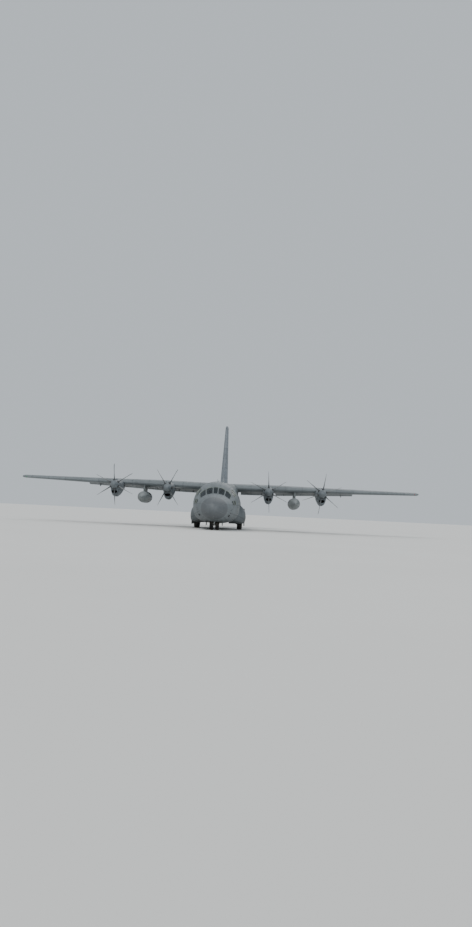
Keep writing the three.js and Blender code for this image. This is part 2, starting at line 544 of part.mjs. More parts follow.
const dorsal = sweep([[18.6, 4.4], [24.5, 4.4], [24.5, 7.0], [24.2, 7.0], [23.0, 5.55], [21.2, 4.86]], alongX, -0.1, 0.1);
const finWhole = finLoft();
{
  const share = (z) => (z - FIN.rootZ) / (FIN.tipZ - FIN.rootZ);
  const slope = (RUDDER.highHinge - RUDDER.lowHinge) / (RUDDER.high - RUDDER.low);
  const lineAt = (z) => RUDDER.lowHinge + slope * (z - RUDDER.low);
  const axis = [RUDDER.low, RUDDER.high].map((z) => point(0, lineAt(z), z));
  const radius = (z) => (RUDDER.radius - RUDDER.taper * share(z)) * m;
  const { panel, cutFrom } = hingedPanel(finWhole, axis, [radius(RUDDER.low), radius(RUDDER.high)], HINGE_ROOM * m);
  add("rudder", panel, GREY, axis[0]);
  const ahead = sweep([[20, 4], [lineAt(4) - SPAR, 4], [lineAt(HEIGHT) - SPAR, HEIGHT], [20, HEIGHT]], alongX, -1, 1);
  const finBody = finWhole.subtract(finLoft(finCore).intersect(ahead)).add(dorsal);
  add("fin", largest(cutFrom(finBody.subtract(skinCutter).subtract(stabiliserCutter))), GREY);
}

// Inside the fuselage
const deckHeight = 2.05;
const stairwell = block([0.75, 3], [3.9, 5.2], [1.04, 2.2]);
const doorway = block([-0.35, 0.35], [5, 6], [HOLD_FLOOR, 3.4]);
add("flight_deck", largest(join([
  block([-3, 3], [2.35, 5.3], [deckHeight, deckHeight + 0.06]),
  block([-3, 3], [2.1, 3.85], [0.9, deckHeight + 0.01]), // the equipment bay round the nose wheel well
  block([-3, 3], [5.22, 5.3], [0.9, 4.6]),
  block([-3, 3], [4.3, 5.3], [0.9, HOLD_FLOOR - 0.01]),
]).subtract(stairwell).subtract(doorway).intersect(cabinFit)), INTERIOR);
const holdFloor = block([-1.53, 1.53], [5.34, HOLD_END], [0.9, HOLD_FLOOR]);
add("cargo_floor", largest(holdFloor.intersect(cabinFit)), INTERIOR);

const glassOuter = cabinFit;
const glassInner = hollow(grown + GLASS * m);
add("cockpit_glass", largest(glassOuter.subtract(glassInner).intersect(block([-3, 3], [2.25, 4.55], [2.3, 5]))), PANE);

const deckTop = deckHeight + 0.06 + grown / m;
const seatAt = (x) => join([
  block([x - 0.2, x + 0.2], [3.05, 3.4], [deckTop, 2.42]),
  block([x - 0.26, x + 0.26], [2.98, 3.5], [2.4, 2.54]),
  block([x - 0.26, x + 0.26], [3.42, 3.56], [2.5, 3.12]),
  block([x - 0.14, x + 0.14], [3.44, 3.54], [3.1, 3.34]),
]);
const console = join([
  block([-0.8, 0.8], [2.5, 3.4], [deckTop, deckTop + 0.03]),
  block([-0.18, 0.18], [2.5, 3.3], [deckTop, 2.62]),
  block([-1.05, 1.05], [2.42, 2.56], [deckTop, 2.82]),
]);
add("cockpit_fittings", largest(join([seatAt(-0.62), seatAt(0.62), console])
  .intersect(hollow(grown * 3 + GLASS * m))), SEAT);

// Wing and its trailing edge panels
const middleWing = wingLoft([[-WING.break + grown / m / 2, 1], [0, 1], [WING.break - grown / m / 2, 1]]);
const wings = { centre: middleWing };
for (const [side, sign] of SIDES)
  wings[side] = wingLoft([[WING.break + grown / m / 2, 1], ...OUTER_WING].map(([x, shrink]) => [x * sign, shrink]));

const lineOf = (sign, { from, to, share }) => [from, to].map((x) => wingPoint(x * sign, share, 0));

for (const [side, sign] of SIDES) {
  const axis = lineOf(sign, AILERON);
  const radii = [AILERON.from, AILERON.to].map((x) => {
    const { chord, thick } = wingAt(x);
    return halfThickness(AILERON.share, thick) * chord * m * 1.02;
  });
  const { panel, cutFrom } = hingedPanel(wings[side], axis, radii, HINGE_ROOM * m);
  wings[side] = cutFrom(wings[side]);
  add(`aileron_${side}`, panel, GREY, axis[0]);
}

// A flat arm or bracket square to a flap's axis: an outline of rearward and upward offsets from the pivot
function plate(pivot, along, outline, [x0, x1]) {
  const back = new THREE.Vector3(0, 1, 0).addScaledVector(along, -along.y).normalize();
  const up = back.clone().cross(along).multiplyScalar(-Math.sign(along.x));
  const place = (a, b, c) => pivot.clone().addScaledVector(back, a * m).addScaledVector(up, b * m).addScaledVector(along, c * m);
  return sweep(outline, place, x0, x1);
}
const ARM = [[-0.05, -0.05], [0.05, -0.05], [0.62, 0.33], [0.62, 0.46], [0.1, 0.5], [-0.05, 0.2]];
const BRACKET = [[-0.95, 0.42], [-0.9, 0.34], [-0.06, -0.05], [0.05, -0.05], [0.05, 0.05], [-0.3, 0.42], [-0.35, 0.5]];
for (const flap of FLAPS)
  for (const [side, sign] of SIDES) {
    const owner = flap.name === "inner_flap" ? "centre" : side;
    const line = lineOf(sign, flap);
    const [a, b] = [flap.from, flap.to];
    const pivotAt = (x) => wingPoint(x * sign, FLAP_PIVOT.share, -FLAP_PIVOT.drop);
    let panel = wings[owner].intersect(lineBlock(line, 0, 0, 3 * m));
    let parent = wings[owner].subtract(lineBlock(line, FLAP_END_GAP, RUNNING_GAP * m, 3 * m));
    const noseCut = join([[0.05, 1], [0.05, -1]].map(([width, up]) => {
      const ring = (x) => [[flap.share - 0.01, 0], [flap.share + width, up * 0.4], [flap.share - 0.01, up * 0.4]]
        .map(([share, height]) => wingPoint(x * sign, share, height));
      return loft([ring(a - 0.1), ring(b + 0.1)]);
    }));
    panel = panel.subtract(noseCut);
    const [inner, outer] = flap.arms.map(pivotAt);
    const along = outer.clone().sub(inner).normalize();
    for (const pivot of [inner, outer]) {
      const bar = (radius, from, to) => rod(
        pivot.clone().addScaledVector(along, from * m), pivot.clone().addScaledVector(along, to * m), radius, radius, 12);
      panel = panel.add(plate(pivot, along, ARM, [-0.02, 0.02])).subtract(bar(PIN + PIN_FIT, -0.1, 0.1));
      parent = parent.add(plate(pivot, along, BRACKET, [0.032, 0.062])).add(bar(PIN, -0.018, 0.05));
    }
    wings[owner] = parent;
    const turn = new THREE.Group();
    turn.position.copy(inner);
    turn.quaternion.setFromAxisAngle(along.clone().multiplyScalar(-sign), FLAP_REST * DEGREE);
    aeroplane.add(turn);
    add(`${flap.name}_${side}`, largest(panel), GREY, inner, turn);
  }
add("wing_centre", largest(wings.centre), GREY);
for (const [side] of SIDES) add(`wing_${side}`, largest(wings[side]), GREY);

// Engines: nacelles under the wing and feathered propellers

function nacelleRing({ s, half, up, down, full }, x, z) {
  return Array.from({ length: 16 }, (_, i) => {
    const angle = (2 * Math.PI * i) / 16;
    const lower = Math.sin(angle) < -1e-9;
    const power = lower ? 2 / full : 1;
    const across = Math.sign(Math.cos(angle)) * Math.abs(Math.cos(angle)) ** power;
    const rise = Math.sign(Math.sin(angle)) * Math.abs(Math.sin(angle)) ** power;
    return point(x + across * half, s, z + rise * (lower ? down : up));
  });
}

function bladeRing({ r, chord, thick, sweep: swept }) {
  return Array.from({ length: 6 }, (_, i) => {
    const angle = (2 * Math.PI * i) / 6;
    return new THREE.Vector3((Math.sin(angle) * thick * m) / 2, ((Math.cos(angle) * chord) / 2 + swept) * m, r * m);
  });
}

const SPINNER = [[0, 0.02], [0.1, 0.17], [0.28, 0.3], [0.52, 0.39], [0.9, 0.43]];
function propeller() {
  const base = PROPELLER.tip - PROPELLER.station;
  const outline = SPINNER.map(([back, radius]) => new THREE.Vector2(radius * m, (base + back) * m));
  const lathe = new THREE.LatheGeometry([new THREE.Vector2(0, base * m), ...outline, new THREE.Vector2(0, (base + 0.9) * m)], 18);
  const blade = loft(BLADE.map(bladeRing));
  const blades = Array.from({ length: 6 }, (_, i) => {
    const geometry = toGeometry(blade).rotateY((i * Math.PI) / 3);
    return solid(geometry);
  });
  const boreStart = new THREE.Vector3(0, 0.1 * m, 0);
  const boreEnd = new THREE.Vector3(0, 0.5 * m, 0);
  return join([solid(lathe), ...blades]).subtract(rod(boreStart, boreEnd, PROPELLER.shaft * m + 1.2, PROPELLER.shaft * m + 1.2, 16));
}
function toGeometry(made) {
  const { numProp, vertProperties, triVerts } = made.getMesh();
  const positions = new Float32Array(vertProperties.length / numProp * 3);
  for (let i = 0; i * numProp < vertProperties.length; i++)
    positions.set(vertProperties.subarray(i * numProp, i * numProp + 3), i * 3);
  const geometry = new THREE.BufferGeometry();
  geometry.setAttribute("position", new THREE.BufferAttribute(positions, 3));
  geometry.setIndex(new THREE.BufferAttribute(new Uint32Array(triVerts), 1));
  return geometry;
}
const propellerSolid = propeller();
for (const [side, sign] of SIDES)
  for (const [place, x, z] of ENGINES) {
    const cowl = loft(NACELLE.map((row) => nacelleRing(row, x * sign, z)));
    const shaft = rod(point(x * sign, PROPELLER.station + 0.12, z), point(x * sign, 9, z), PROPELLER.shaft * m, PROPELLER.shaft * m, 16);
    add(`nacelle_${side}_${place}`, largest(cowl.add(shaft).subtract(wingCutter)), GREY);
    const mesh = add(`propeller_${side}_${place}`, propellerSolid, BLADE_PAINT);
    mesh.position.copy(point(x * sign, PROPELLER.station, z));
    mesh.rotation.y = BLADE_ANGLES[`${side}_${place}`] * DEGREE;
  }

// Underwing tanks
for (const [side, sign] of SIDES) {
  const x = TANK.x * sign;
  const length = TANK.to - TANK.from;
  const outline = [[0, 0], ...TANK_PROFILE, [1, 0]].map(([share, radius]) => new THREE.Vector2(radius * TANK.radius * m, share * length * m));
  const body = solid(new THREE.LatheGeometry(outline, 16).translate(x * m, at(TANK.from), TANK.z * m));
  const pylonRing = (z, nose, tail) => [[nose, 0.1], [nose + 0.5, 1], [tail - 1.2, 1], [tail, 0.1], [tail, -0.1],
    [tail - 1.2, -1], [nose + 0.5, -1], [nose, -0.1]].map(([s, across]) => point(x + across * PYLON.half, s, z));
  const pylon = loft([pylonRing(TANK.z + 0.3, PYLON.from + 0.2, PYLON.to - 0.3), pylonRing(4.15, PYLON.from, PYLON.to)]);
  add(`fuel_tank_${side}`, largest(body.add(pylon).subtract(wingCutter)), GREY);
}

// Undercarriage
for (const [side, sign] of SIDES) {
  const ring = ([s, share]) => SPONSON.map(([x, z]) => point(
    (SPONSON_CORE[0] + (x - SPONSON_CORE[0]) * share) * sign, s, SPONSON_CORE[1] + (z - SPONSON_CORE[1]) * (0.35 + 0.65 * share)));
  const well = spanBlock(sign, 1, MAIN_WELL.out, [MAIN_WELL.from, MAIN_WELL.to], [0, MAIN_WELL.top]);
  const door = spanBlock(sign, MAIN_WELL.out - 0.02, MAIN_WELL.out + 0.03, [MAIN_WELL.from + 0.1, MAIN_WELL.to - 0.1], [0.36, 0.9]);
  const body = loft(SPONSON_SHARE.map(ring)).subtract(well).add(door).subtract(skinCutter);
  add(`sponson_${side}`, largest(body), BELLY);

  const legs = MAIN_WHEEL.stations.flatMap(([, s]) => [
    rod(point(MAIN_LEG.x * sign, s, MAIN_WHEEL.radius - 0.12), point(MAIN_LEG.x * sign, s, MAIN_WELL.top - grown / m), MAIN_LEG.radius * m),
    rod(point((MAIN_LEG.x - 0.05) * sign, s, MAIN_WHEEL.radius), point(2.4 * sign, s, MAIN_WHEEL.radius), MAIN_LEG.axle * m, MAIN_LEG.axle * m, 16),
  ]);
  const beam = spanBlock(sign, MAIN_LEG.x - 0.04, MAIN_LEG.x + 0.04, [MAIN_WHEEL.stations[0][1], MAIN_WHEEL.stations[1][1]], [1.2, 1.34]);
  add(`main_leg_${side}`, join([...legs, beam]), METAL);
}

// A rim and a tyre about the X axis, with a flat facet down
function wheelPair(radius, width, bore) {
  const half = (width / 2) * m;
  const rimRadius = radius * 0.47 * m;
  const facet = Math.cos(Math.PI / TYRE_FACETS);
  const outer = (radius * m) / facet;
  const rim = turned([[-half * 0.75, bore], [-half * 0.75, rimRadius * 0.5], [-half * 0.35, rimRadius * 0.8], [-half * 0.8, rimRadius],
    [half * 0.8, rimRadius], [half * 0.35, rimRadius * 0.8], [half * 0.75, rimRadius * 0.5], [half * 0.75, bore],
    [-half * 0.75, bore]], TYRE_FACETS);
  const seat = rimRadius + grown;
  const tyre = turned([[-half * 0.8, seat], [-half, radius * 0.68 * m], [-half * 0.86, outer * 0.92], [-half * 0.5, outer],
    [half * 0.5, outer], [half * 0.86, outer * 0.92], [half, radius * 0.68 * m], [half * 0.8, seat], [-half * 0.8, seat]], TYRE_FACETS);
  return { rim, tyre };
}
const mainWheel = wheelPair(MAIN_WHEEL.radius, MAIN_WHEEL.width, MAIN_LEG.axle * m + 1);
for (const [side, sign] of SIDES)
  for (const [place, s] of MAIN_WHEEL.stations)
    for (const [kind, material] of [["rim", WHEEL], ["tyre", TYRE]])
      add(`main_${kind}_${side}_${place}`, mainWheel[kind], material).position.copy(point(MAIN_WHEEL.x * sign, s, MAIN_WHEEL.radius));

const noseWheel = wheelPair(NOSE_WHEEL.radius, NOSE_WHEEL.width, 10);
const noseAxle = 0.05 * m;
const axleAt = (x) => point(x, NOSE_WHEEL.station, NOSE_WHEEL.radius);
const noseRims = [-1, 1].map((sign) => {
  const centre = axleAt(NOSE_WHEEL.x * sign);
  return solid(toGeometry(noseWheel.rim).translate(centre.x, centre.y, centre.z));
});
add("nose_wheel_rims", join([...noseRims, rod(axleAt(-0.42), axleAt(0.42), noseAxle, noseAxle, 16)]), WHEEL);
for (const [side, sign] of SIDES)
  add(`nose_tyre_${side}`, noseWheel.tyre, TYRE).position.copy(axleAt(NOSE_WHEEL.x * sign));
const legAt = (z) => point(0, NOSE_WHEEL.station, z);
const piston = rod(legAt(NOSE_WHEEL.radius), legAt(1.2), 0.065 * m, 0.065 * m, 16);
const eye = rod(axleAt(-0.085), axleAt(0.085), 0.1 * m, 0.1 * m, 16);
const eyeBore = rod(axleAt(-0.1), axleAt(0.1), noseAxle + 1, noseAxle + 1, 16);
add("nose_fork", join([piston, eye]).subtract(eyeBore), METAL);
const cylinder = rod(legAt(0.86), legAt(NOSE_WELL.top - grown / m), 0.1 * m, 0.1 * m, 16);
const cylinderBore = rod(legAt(0.8), legAt(1.22), 0.065 * m + 1, 0.065 * m + 1, 16);
const brace = rod(legAt(1.02), point(0, NOSE_WELL.from + 0.1, NOSE_WELL.top - 0.06), 0.04 * m);
add("nose_leg", join([cylinder, brace]).subtract(cylinderBore), METAL);
for (const [side, sign] of SIDES) {
  const leaf = spanBlock(sign, NOSE_WELL.half + 0.01, NOSE_WELL.half + 0.04, [NOSE_WELL.from + 0.03, NOSE_WELL.to - 0.03], [0.42, 1.2]);
  add(`nose_gear_door_${side}`, largest(leaf.subtract(skinCutter)), GREY);
}

export default aeroplane;
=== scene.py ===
"""A four-engined, high-wing military transport aeroplane at half size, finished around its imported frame.

Tables hold sizes of the full-size aeroplane in metres: x runs to port, s back from the nose tip and z up.
"""

import contextlib
import functools
from math import copysign, cos, exp, pi, radians, sin, sqrt, tan
from types import SimpleNamespace as Sizes

import bmesh
import bpy
import numpy as np
from mathutils import Matrix, Vector
from mathutils.kdtree import KDTree


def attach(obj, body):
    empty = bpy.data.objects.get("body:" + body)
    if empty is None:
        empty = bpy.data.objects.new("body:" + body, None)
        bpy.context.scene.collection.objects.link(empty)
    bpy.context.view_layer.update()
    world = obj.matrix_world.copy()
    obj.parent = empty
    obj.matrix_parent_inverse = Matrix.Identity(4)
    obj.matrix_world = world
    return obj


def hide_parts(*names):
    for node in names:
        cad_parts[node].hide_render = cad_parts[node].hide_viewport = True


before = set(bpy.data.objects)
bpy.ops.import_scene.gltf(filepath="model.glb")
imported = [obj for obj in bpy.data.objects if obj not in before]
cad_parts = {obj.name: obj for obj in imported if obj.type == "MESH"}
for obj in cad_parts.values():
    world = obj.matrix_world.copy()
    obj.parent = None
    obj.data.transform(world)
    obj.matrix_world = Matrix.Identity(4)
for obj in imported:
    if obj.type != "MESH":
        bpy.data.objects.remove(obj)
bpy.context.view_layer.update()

# Driving dimensions
SCALE = 0.5
LENGTH = 29.79
HEIGHT = 11.84
SEAT_GAP = 0.0008
RUNNING_GAP = 0.012
HINGE_ROOM = 0.014
PIN = 0.016
PIN_HOLE = PIN + 0.001
OUT = 3  # a distance from the middle line that lies past the widest skin
SIDES = (("port", 1), ("starboard", -1))
TURN = 2 * pi
PORT, BACK, UP = Vector((1, 0, 0)), Vector((0, 1, 0)), Vector((0, 0, 1))
PAINT, INSIDE, WELL = 0, 1, 2  # places in a skin's list of finishes
SECOND, THIRD = 1, 2  # places in the lists of the other pieces


class Table:
    """Rows of sizes joined by curves that never overshoot; ease is applied to the first column."""

    def __init__(self, names, rows, ease=float):
        numbers = np.array(rows, float)
        self.ease, self.names, self.values = ease, names.split(), numbers[:, 1:]
        self.at = np.array([ease(value) for value in numbers[:, 0]])
        self.ends = rows[0][0], rows[-1][0]
        slope = np.diff(self.values, axis=0) / np.diff(self.at)[:, None]
        before, after = slope[:-1], slope[1:]
        level = np.where(before * after > 0, 2 * before * after / (before + after + 1e-12), 0)
        self.slopes = np.vstack([slope[:1], level, slope[-1:]])

    @functools.lru_cache(maxsize=None)
    def __call__(self, where):
        eased = self.ease(where)
        i = int(np.clip(np.searchsorted(self.at, eased) - 1, 0, len(self.at) - 2))
        width = self.at[i + 1] - self.at[i]
        t = (eased - self.at[i]) / width
        values = (1 + 2 * t) * (1 - t) ** 2 * self.values[i] + t * t * (3 - 2 * t) * self.values[i + 1]
        leaving, arriving = t * (1 - t) ** 2 * width, t * t * (1 - t) * width
        values = values + leaving * self.slopes[i] - arriving * self.slopes[i + 1]
        return Sizes(**dict(zip(self.names, (float(value) for value in values))))


BARREL = Sizes(half=2.16, mid=2.36)  # the straight part of the fuselage
FUSELAGE = Table("half mid top bottom full", (
    (0, 0.03, 1.95, 1.98, 1.92, 2),
    (0.1, 0.34, 1.94, 2.27, 1.62, 2),
    (0.35, 0.64, 1.94, 2.54, 1.36, 2),
    (0.8, 0.95, 1.97, 2.8, 1.13, 2.1),
    (1.7, 1.39, 2.03, 3.1, 0.9, 2.2),
    (2.3, 1.62, 2.1, 3.27, 0.8, 2.3),
    (3.25, 1.88, 2.2, 4.02, 0.72, 2.5),
    (3.75, 1.99, 2.25, 4.3, 0.68, 2.7),
    (4.4, 2.09, 2.3, 4.46, 0.64, 2.75),
    (5.4, BARREL.half, BARREL.mid, 4.52, 0.62, 2.8),
    (18, BARREL.half, BARREL.mid, 4.52, 0.62, 2.8),
    (18.6, 2.15, 2.4, 4.52, 0.9, 3),
    (19.6, 2.1, 2.58, 4.52, 1.38, 3.2),
    (21.1, 1.98, 2.95, 4.53, 2.1, 3.5),
    (23.4, 1.65, 3.45, 4.56, 2.92, 3.5),
    (25.7, 1.22, 3.98, 4.6, 3.7, 3.2),
    (27.5, 0.82, 4.28, 4.64, 4.02, 3),
    (29, 0.42, 4.46, 4.66, 4.24, 2.6),
    (29.6, 0.2, 4.5, 4.6, 4.4, 2.2),
    (LENGTH, 0.04, 4.5, 4.53, 4.47, 2),
), sqrt)
STATIONS = [(0.12 + 0.06 * i) ** 2 for i in range(38)] + [5.6 + 0.62 * i for i in range(20)] \
    + [18 + 0.36 * i for i in range(33)]
SKIN_SIDES = 96
SKIN = 0.1
RADOME_PAINTED = 1.28
STRIP = Sizes(start=0.4, end=1.25, half=0.016,
              section=((-1, 0.004), (-0.6, -0.006), (0.6, -0.006), (1, 0.004)))
RADOME_END = 1.7
FORWARD_END = 5.6
CENTRE_END = 17.55
CAVITY = Sizes(start=1.78, end=26.2)
HOLD = Sizes(start=5.34, end=17.86, floor=1.03)
UNDERFLOOR = 0.92
LINING = SKIN + 0.003
BULKHEAD = Sizes(start=5.22, end=5.3, door_half=0.35, door_head=3.4)
DECK = Sizes(low=2.05, top=2.11, room_end=7)

# Cockpit windows: first and last station, lower and upper angle above the widest line, in degrees
WINDOWS = (
    (2.42, 3.16, 84, 96),
    (2.42, 3.16, 62, 81),
    (2.42, 3.16, 38, 59),
    (3.34, 3.86, 26, 46),
    (3.96, 4.42, 26, 46),
    (2.5, 2.9, 10, 24),
    (3.0, 3.42, 6, 19),
)
CREW_DOOR = Sizes(start=4.05, end=4.81, sill=1.03, head=2.18, hinge=1.07, hinge_x=1.61354,
                  hinge_slope=0.117645, gap=0.03, sill_gap=0.02, step_half=0.26, porthole=radians(-13))
TROOP_DOOR = Sizes(start=16.5, end=17.41, sill=1.05, head=2.88, gap=0.006)
RAMP = Sizes(s=18, z=1, end=21.06, half=1.53, swing=0.36, lip=2.34)
CARGO_DOOR = Sizes(start=21.12, s=25.62, z=3.79, half=1.5, end_half=0.84, depth=0.16, low=1.5, high=3.95)
SIDE_DOOR_NEAR = 1.2  # where the block of a side door starts, inside the skin

# The outer wings start at the kink; the centre section ends at the seated share of it, a hair short of them
WING = Sizes(root_chord=4.88, tip_chord=2.49, kink=5.59, half=20.205, nose=11.35, middle=4.11,
             rise=tan(radians(0.75)), root_thick=0.172, tip_thick=0.12, root_set=3, camber=0.022,
             tip_round=0.4, seated=0.99993)
FLAPS = (Sizes(name="inner_flap", start=2.12, end=5.5, arms=(2.8, 4.3)),
         Sizes(name="outer_flap", start=5.7, end=13.7, arms=(6.64, 12.5)))
FLAP = Sizes(share=0.73, rest=15, end_gap=0.024, pivot_share=0.755, pivot_drop=0.44, arm_half=0.02,
             bevel=0.05, bevel_depth=0.4)
ARM = ((-0.05, -0.05), (0.05, -0.05), (0.62, 0.33), (0.62, 0.46), (0.1, 0.5), (-0.05, 0.2))
BRACKET = ((-0.95, 0.42), (-0.9, 0.34), (-0.06, -0.05), (0.05, -0.05), (0.05, 0.05), (-0.3, 0.42),
           (-0.35, 0.5))
AILERON = Sizes(start=13.84, end=19.5, share=0.76, nose=1.02, wicks=(15, 19.4))
ENGINES = (("inner", 4.95, 3.84), ("outer", 10.16, 3.91))
PROPELLER = Sizes(s=8.42, tip=7.8, radius=2.055, shaft=0.1, blades=6, root=0.3, bolts=24, round_from=1.82)
BLADE_ANGLES = {"port_inner": -3, "port_outer": 9.5, "starboard_inner": 27, "starboard_outer": 56}
NACELLE = Table("half up down full", (
    (8.725, 0.42, 0.42, 1, 2.1),
    (9.1, 0.47, 0.47, 1.15, 2.2),
    (10, 0.5, 0.54, 1.18, 2.2),
    (11.3, 0.52, 0.62, 1.02, 2.1),
    (12.3, 0.48, 0.5, 0.76, 2),
    (13.4, 0.38, 0.2, 0.48, 2),
    (14.5, 0.22, 0.05, 0.24, 2),
))
COWL = Sizes(front=8.725, back=14.5, sides=48, bands=(9.12, 10.35, 11.3),
             latches=(9.3, 9.7, 10.1, 10.6, 11.0))
INTAKE = Sizes(half=0.27, rise=0.15, drop=0.73, mouth=((8.6, 0.03), (8.76, 0.012), (8.9, 0), (9.5, -0.04)),
               lip=((8.77, -0.012), (8.712, -0.004), (8.7, 0.014), (8.712, 0.034), (8.77, 0.045)))
EXHAUST = Sizes(way=Vector((0, 1, -0.06)), bore=((0, 0.11), (0.6, 0.115)),
                pipe=((0, 0.118), (0.4, 0.13), (0.46, 0.142), (0.475, 0.136), (0.46, 0.122), (0, 0.1)))
BLADE = Table("chord thick sweep twist", (
    (PROPELLER.root, 0.17, 0.16, 0, 0),
    (0.62, 0.25, 0.1, 0, 9),
    (1.05, 0.37, 0.06, -0.02, 5),
    (1.55, 0.37, 0.038, 0, 0),
    (1.9, 0.27, 0.024, 0.08, -3),
    (PROPELLER.radius, 0.1, 0.014, 0.17, -4),
))
SPINNER = Table("radius", ((0, 0.02), (0.1, 0.17), (0.28, 0.3), (0.52, 0.39), (0.9, 0.43)), sqrt)
TANK = Sizes(x=7.62, z=2.85, start=9.4, end=17, radius=0.58, sides=64)
TANK_SHAPE = Table("radius", (
    (0, 0.02), (0.03, 0.3), (0.1, 0.65), (0.22, 0.94), (0.34, 1), (0.62, 1), (0.8, 0.78), (0.93, 0.38),
    (1, 0.03)))
PYLON = Sizes(half=0.17, start=11.7, end=14.64, top=4.15)
STABILISER = Sizes(root=(24.85, 29), tip=(25.95, 28), half=8.025, z=4.62, thick=0.11, tip_round=0.3)
ELEVATOR = Sizes(start=0.86, end=7.75, root_hinge=27.75, tip_hinge=27.2, radii=(0.145, 0.089), wicks=(3, 7.7))
FIN = Sizes(root=(23, 28.9), tip=(26.15, 28.55), root_z=4.5, tall=7.12, thick=0.15, tip_round=0.34)
RUDDER = Sizes(low=5.3, high=11.45, low_hinge=27.55, high_hinge=27.85, radius=0.224, taper=0.115,
               wicks=(8.5, 11.4))
DORSAL = Table("rise half", ((18.6, 0.02, 0.03), (20, 0.1, 0.07), (21.2, 0.34, 0.1), (22.2, 0.72, 0.12),
                             (23.2, 1.3, 0.14), (24.1, 2.3, 0.15), (24.5, 2.5, 0.15)))
FAIRING = Table("rise", ((0, 0.12), (20, 0.24), (32, 0.4), (42, 0.46), (49, 0.36), (55, 0.08), (60, -0.03)))
FAIRED = Sizes(start=10, end=18.2, ahead=1.9, behind=2.6)
MAIN_WHEEL = Sizes(radius=0.71, width=0.508, x=2.175, stations=(("front", 12.44), ("rear", 13.96)))
MAIN_WELL = Sizes(near=1.665, far=2.64, start=11.55, end=14.85, top=1.62)
LEG_X = 1.79
BRAKE = ((0, 0.16), (0.01, 0.2), (0.05, 0.21), (0.075, 0.2))
NOSE_WHEEL = Sizes(radius=0.495, width=0.33, x=0.27, s=3.43)
NOSE_WELL = Sizes(half=0.72, start=2.72, end=4.14, top=1.52)
NOSE_LAMP = Sizes(x=0.17, z=1.1, case=((-0.09, 0.03), (-0.06, 0.07), (0.0, 0.085), (0.012, 0.085)),
                  lens=((0, 0.078), (0.012, 0.07), (0.018, 0.04)))
HOUSING = 0.08
SPONSON = ((1.1, 0.58), (2.45, 0.58), (2.7, 0.76), (2.78, 1.25), (2.7, 1.85), (2.38, 2.32), (1.9, 2.62),
           (1.1, 2.62))
SPONSON_SHARE = Table("share", (
    (9.3, 0.25), (9.8, 0.6), (10.6, 0.9), (11.3, 1), (15.05, 1), (15.6, 0.85), (16.1, 0.55), (16.38, 0.28)))
SPONSON_CORE = Sizes(x=1.3, z=1.35)


def place(x, s, z):
    return Vector((x * SCALE, (s - LENGTH / 2) * SCALE, z * SCALE))


def between(first, last, share):
    return first + share * (last - first)


def even_steps(first, last, count):
    """Values from first to last in a count of equal steps."""
    return [first + (last - first) * i / count for i in range(count + 1)]


def about(middle, half):
    """Both ends of a length that lies about its middle."""
    return middle - half, middle + half


def signed_power(value, exponent):
    return copysign(abs(value) ** exponent, value)


def circle(count, shift=0):
    """Cosines and sines of equal steps round a circle."""
    angles = [TURN * (step + shift) / count for step in range(count)]
    return [(cos(angle), sin(angle)) for angle in angles]


# Closed shapes


@contextlib.contextmanager
def editing(mesh, index=None):
    """Opens a mesh for changes; an index, where one is given, goes to all its faces."""
    shape = bmesh.new()
    shape.from_mesh(mesh)
    yield shape
    if index is not None:
        for face in shape.faces:
            face.material_index = index
    shape.to_mesh(mesh)
    shape.free()


def skin(rings, index=PAINT, round_trip=False):
    """A closed skin over equal rings of points, with flat ends or with its last ring joined to its first."""
    count = len(rings[0])
    points = [tuple(point) for ring in rings for point in ring]
    faces = []
    for r in range(len(rings) if round_trip else len(rings) - 1):
        here, ahead = r * count, (r + 1) % len(rings) * count
        for i in range(count):
            j = (i + 1) % count
            faces.append((here + i, here + j, ahead + j, ahead + i))
    if not round_trip:
        faces += [tuple(range(count))[::-1], tuple(range(len(points) - count, len(points)))]
    return closed_mesh(points, faces, index)


def closed_mesh(points, faces, index=PAINT):
    mesh = bpy.data.meshes.new("shape")
    mesh.from_pydata(points, [], faces)
    with editing(mesh, index) as shape:
        bmesh.ops.recalc_face_normals(shape, faces=shape.faces)
    return mesh


def block(xs, stations, heights, index=PAINT):
    (x0, x1), (s0, s1) = sorted(xs), stations
    corners = ((x0, s0), (x1, s0), (x1, s1), (x0, s1))
    return skin([[place(x, s, z) for x, s in corners] for z in heights], index)


def soft_block(xs, stations, heights, radius=0.02, index=PAINT):
    """A block with rounded edges."""
    mesh = block(xs, stations, heights)
    with editing(mesh, index) as shape:
        bmesh.ops.bevel(shape, geom=shape.edges[:] + shape.verts[:], offset=radius * SCALE, segments=2,
                        affect="EDGES", clamp_overlap=True)
    return mesh


def prism(outline, spot, near, far, index=PAINT):
    """A flat outline swept between two depths; spot turns its two sizes and the depth into a place."""
    return skin([[spot(a, b, depth) for a, b in outline] for depth in (near, far)], index)


def seen_from_side(s, z, x):
    return place(x, s, z)


def hoop(centre, across, up, radius, sides):
    return [centre + (across * a + up * b) * radius * SCALE for a, b in circle(sides)]


def basis(direction):
    along = direction.normalized()
    helper = UP if abs(along.z) < 0.9 else PORT
    across = along.cross(helper).normalized()
    return along, across, along.cross(across)


def turned(origin, direction, profile, sides=32, index=PAINT, round_trip=False):
    """A turned shape: its profile is a list of distances along the axis and radii, in full-size metres."""
    along, across, up = basis(direction)
    return skin([hoop(origin + along * distance * SCALE, across, up, max(radius, 0.001), sides)
                 for distance, radius in profile], index, round_trip)


def rod(start, end, radius, end_radius=None, sides=16, index=PAINT):
    length = (end - start).length / SCALE
    return turned(start, end - start, ((0, radius), (length, end_radius or radius)), sides, index)


def rounded_rod(start, end, radius, sides):
    length = (end - start).length / SCALE
    edge = min(radius, length) * 0.3
    profile = ((0, radius - edge), (edge * 0.3, radius - edge * 0.3), (edge, radius), (length - edge, radius),
               (length - edge * 0.3, radius - edge * 0.3), (length, radius - edge))
    return turned(start, end - start, profile, sides)


